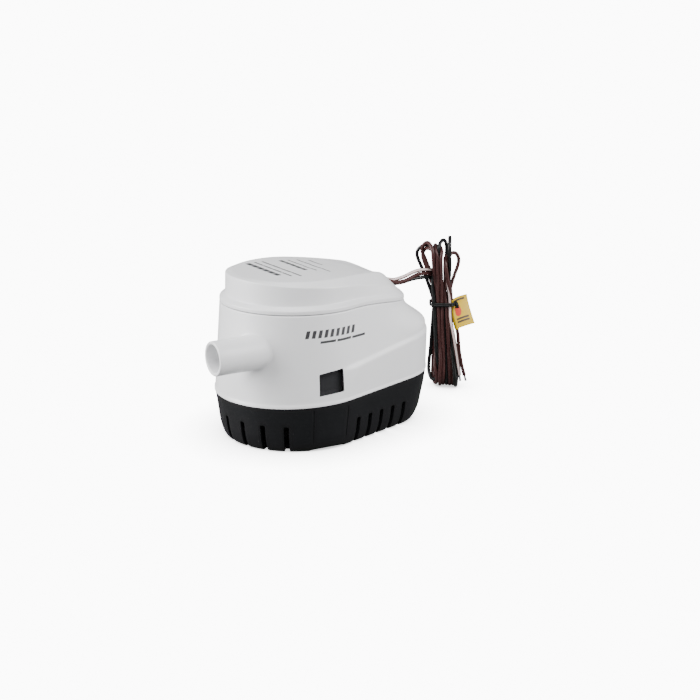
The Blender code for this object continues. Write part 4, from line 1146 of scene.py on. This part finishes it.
def add_tag():
    """A folded label: it loops round the brown tail, and its two leaves are stuck together."""
    low, high, reach, sheet = 40.8, 60.8, 18.6, 0.22
    route = ROUTES["brown"]
    crown = int(0.75 * len(route)) + int(np.argmax(route[int(0.75 * len(route)):, 2]))
    tail = route[crown:][::-1]
    rows = 13
    loop_radius = WIRE / 2 + 0.25
    lines = []
    for row in range(rows):
        z = low + (high - low) * row / (rows - 1)
        centre = hank_point(np.interp(z, tail[:, 2], tail[:, 0]), np.interp(z, tail[:, 2], tail[:, 1]), z)
        a = math.radians(HANK_TURN + 48.0 + 7.0 * (row / (rows - 1) - 0.5))
        out = Vector((math.cos(a), math.sin(a), 0.0))
        side = Vector((-math.sin(a), math.cos(a), 0.0))
        leaf = []
        for k in range(25):
            t = k / 24
            bow = 1.1 * math.sin(math.pi * t) * (0.4 + 0.6 * row / (rows - 1))
            leaf.append((reach * (1 - t) + 1.8 * t, LEAF_APART, bow))
        loop_part = []
        for k in range(1, 16):
            b = math.radians(35.0 + 290.0 * k / 16)
            loop_part.append((loop_radius * math.cos(b), loop_radius * math.sin(b), 0.0))
        back = [(x, -w, bow) for x, w, bow in reversed(leaf)]
        line = [centre + out * x + side * (w + bow) for x, w, bow in leaf + loop_part + back]
        line = [p + Vector((0.0, 0.0, 0.03 * ((p - centre).dot(out)))) for p in line]
        lines.append(line)
    shape = bmesh.new()
    layer = shape.loops.layers.uv.new("UVMap")
    verts = [[shape.verts.new(p) for p in line] for line in lines]
    count = len(verts[0])
    spans = [min(1.0, abs(k - (count - 1) / 2) / (count / 2)) for k in range(count)]
    for r in range(rows - 1):
        for k in range(count - 1):
            face = shape.faces.new((verts[r][k], verts[r][k + 1], verts[r + 1][k + 1], verts[r + 1][k]))
            marks = ((r, k), (r, k + 1), (r + 1, k + 1), (r + 1, k))
            for loop, (rr, kk) in zip(face.loops, marks):
                loop[layer].uv = (spans[kk], rr / (rows - 1))
    tag = piece("label_tag", shape, label_look())
    thick = tag.modifiers.new("sheet", "SOLIDIFY")
    thick.thickness = sheet * MM
    thick.offset = 0.0
    apply_all(tag, 50.0)
    settle(tag, "pump", ("cord_tag",))


# Plain printed bars, pressed onto the surface below them

def printed_bar(surface, corner, across, up, way):
    """A thin bar of ink: a grid cast onto a surface along a direction, and closed at its back."""
    steps = max(2, int(across.length / 1.0))
    top, bottom = [], []
    for j in range(3):
        for i in range(steps + 1):
            start = (corner + across * i / steps + up * j / 2) - way * 40.0
            found = surface.ray_cast(start * MM, way)
            place, normal = found[0] / MM, found[1]
            if normal.dot(way) > 0:
                normal = -normal
            top.append(place + normal * 0.035)
            bottom.append(place - normal * 0.10)
    shape = bmesh.new()
    rows = [[shape.verts.new(p) for p in layer] for layer in (top, bottom)]
    width = steps + 1
    for j in range(2):
        for i in range(steps):
            k = j * width + i
            shape.faces.new([rows[0][m] for m in (k, k + 1, k + width + 1, k + width)])
            shape.faces.new([rows[1][m] for m in (k, k + width, k + width + 1, k + 1)])
    rim = ([i for i in range(width)] + [j * width + steps for j in (1, 2)]
           + [2 * width + i for i in range(steps - 1, -1, -1)] + [width])
    for a, b in zip(rim, rim[1:] + rim[:1]):
        shape.faces.new((rows[0][b], rows[0][a], rows[1][a], rows[1][b]))
    return shape


def surface_of(made):
    shape = bmesh.new()
    shape.from_mesh(made.data)
    tree = BVHTree.FromBMesh(shape)
    shape.free()
    return tree


INK = moulded("pad_print_ink", (0.035, 0.035, 0.038), 0.5, 2500.0, 0.00002, 0.2)


def add_prints(housing, cap):
    """Plain bars where such a pump carries its name and ratings."""
    side_wall, top = surface_of(housing), surface_of(cap)
    inward, down = Vector((0.12, 1.0, 0.0)).normalized(), Vector((0.0, 0.0, -1.0))
    bars = []
    for start, end, z, height, lean in side_rows():
        bars.append(printed_bar(side_wall, Vector((start, -46.0, z)), Vector((end - start, 0.0, 0.1)),
                                Vector((lean, 0.0, height)), inward))
    piece("side_print", joined(bars), INK, "pump", (), 60.0)
    bars = []
    for x, width, start, end in top_rows():
        bars.append(printed_bar(top, Vector((x, start, 110.0)), Vector((0.0, end - start, 0.0)),
                                Vector((width, 0.0, 0.0)), down))
    piece("top_print", joined(bars), INK, "pump", (), 60.0)


def side_rows():
    """Bars on the near side as (start x, end x, z, height, lean of the bar's top towards +X)."""
    for k in range(9):
        yield -28.6 + 3.85 * k, -28.6 + 3.85 * k + 2.2, 70.7, 4.6, 1.2
    for k in range(3):
        yield -19.6 + 11.2 * k, -19.6 + 11.2 * k + 10.2, 67.4, 1.4, 0.3


def top_rows():
    """Bars on the cap as (x, width, start y, end y)."""
    for x, width, start, end, parts in ((-29.0, 3.2, -12.5, 28.0, 6), (-22.6, 1.2, -18.0, 28.5, 4),
                                        (-17.6, 1.2, -21.0, 28.0, 4), (-7.2, 2.6, -8.0, 25.0, 5),
                                        (-1.4, 0.9, -12.0, 24.0, 2), (4.6, 0.9, -18.0, 23.0, 1),
                                        (11.2, 0.9, 2.0, 20.0, 1)):
        step = (end - start) / parts
        for k in range(parts):
            yield x, width, start + step * k + 0.4, start + step * (k + 1) - 0.4


# Looks for the pieces inside

INNER_LOOKS = {
    "cap_gasket": RUBBER, "volute_cup": GREY, "motor_pod": WHITE, "pod_lid": GREY, "pod_o_ring": RUBBER,
    "motor_can": STEEL, "motor_end_cap": GREY, "lower_bearing": BRONZE, "upper_bearing": BRONZE,
    "shaft_seal": RUBBER, "seal_retainer": STEEL, "field_magnet_near": FERRITE, "field_magnet_far": FERRITE,
    "brush_near": CARBON, "brush_far": CARBON, "brush_spring_near": STEEL, "brush_spring_far": STEEL,
    "motor_shaft": STEEL, "armature_core": CORE, "armature_windings": COPPER, "commutator": COPPER,
    "impeller": BLACK, "float_body": FOAM, "float_magnet": FERRITE, "float_pivot_pin": STEEL,
    "reed_pocket": GREY, "reed_switch": GLASS, "inner_lead_brown": BROWN_WIRE,
    "inner_lead_striped": BROWN_WIRE, "inner_lead_black": BLACK_WIRE,
}


def dress_inner_nodes():
    for name, look in INNER_LOOKS.items():
        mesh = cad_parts[name].data
        mesh.materials.clear()
        mesh.materials.append(look)


add_base()
add_latch_tab("left_latch_tab_pad", -1, "left_latch")
add_latch_tab("right_latch_tab_pad", 1, "right_latch")
HOUSING = add_housing()
CAP = add_cap()
add_gland()
add_tie()
add_tag()
add_prints(HOUSING, CAP)
dress_inner_nodes()


# Floor and lights

PAPER_WHITE = 11.0
FILL = 0.32


def seen_white(tree, seen, otherwise, output):
    """One shader for what is seen directly and another for what lights the object."""
    path = node(tree, "ShaderNodeLightPath")
    mix = node(tree, "ShaderNodeMixShader")
    tree.links.new(path.outputs["Is Camera Ray"], mix.inputs["Fac"])
    tree.links.new(otherwise, mix.inputs[1])
    tree.links.new(seen, mix.inputs[2])
    tree.links.new(mix.outputs["Shader"], output.inputs["Surface"])


def add_floor():
    """Pale paper: white where it is open, with a painted shadow where the pump stands on it."""
    look = new_look("floor_paper", (0.22, 0.22, 0.22), 0.8)
    tree = look.node_tree
    # Painted shadow: the floor's camera-seen glow is dimmed where ambient occlusion finds the pump close by
    near = node(tree, "ShaderNodeAmbientOcclusion", samples=16, Distance=0.035)
    painted_shadow = ranged(tree, near.outputs["AO"], 0.15, 1.0, 0.10, 1.0)
    glow = node(tree, "ShaderNodeEmission")
    tree.links.new(chained(tree, painted_shadow, (("MULTIPLY", PAPER_WHITE),)), glow.inputs["Strength"])
    seen_white(tree, glow.outputs["Emission"], tree.nodes["Principled BSDF"].outputs["BSDF"],
               tree.nodes["Material Output"])
    shape = bmesh.new()
    bmesh.ops.create_grid(shape, x_segments=8, y_segments=8, size=4000.0)
    floor = piece("floor", shape, look)


def add_world():
    world = bpy.data.worlds.new("studio")
    world.use_nodes = True
    tree = world.node_tree
    fill = tree.nodes["Background"]
    fill.inputs["Color"].default_value = (0.97, 0.98, 1.0, 1.0)
    fill.inputs["Strength"].default_value = FILL
    white = node(tree, "ShaderNodeBackground")
    white.inputs["Color"].default_value = (1.0, 1.0, 1.0, 1.0)
    white.inputs["Strength"].default_value = PAPER_WHITE
    seen_white(tree, white.outputs["Background"], fill.outputs["Background"], tree.nodes["World Output"])
    bpy.context.scene.world = world


def add_softbox(name, turn, elevation, distance, size, power):
    """A square light that faces the pump; turn is its angle from the camera's side, clockwise from
    above for a light at the camera's right."""
    a = math.radians(AZIMUTH + turn)
    e = math.radians(elevation)
    back = Vector((math.sin(a) * math.cos(e), -math.cos(a) * math.cos(e), math.sin(e)))
    data = bpy.data.lights.new(name, "AREA")
    data.shape = "RECTANGLE"
    data.size, data.size_y = size
    data.energy = power
    light = bpy.data.objects.new(name, data)
    light.location = TARGET * MM + back * distance
    light.rotation_mode = "QUATERNION"
    light.rotation_quaternion = (-back).to_track_quat("-Z", "Y")
    bpy.context.collection.objects.link(light)


add_floor()
add_world()
add_softbox("left_softbox", -80.0, 19.0, 1.5, (0.9, 1.1), 50.0)
add_softbox("right_softbox", 75.0, 30.0, 1.5, (0.9, 1.1), 31.0)
add_softbox("front_softbox", 4.0, 52.0, 1.5, (0.7, 0.7), 13.0)
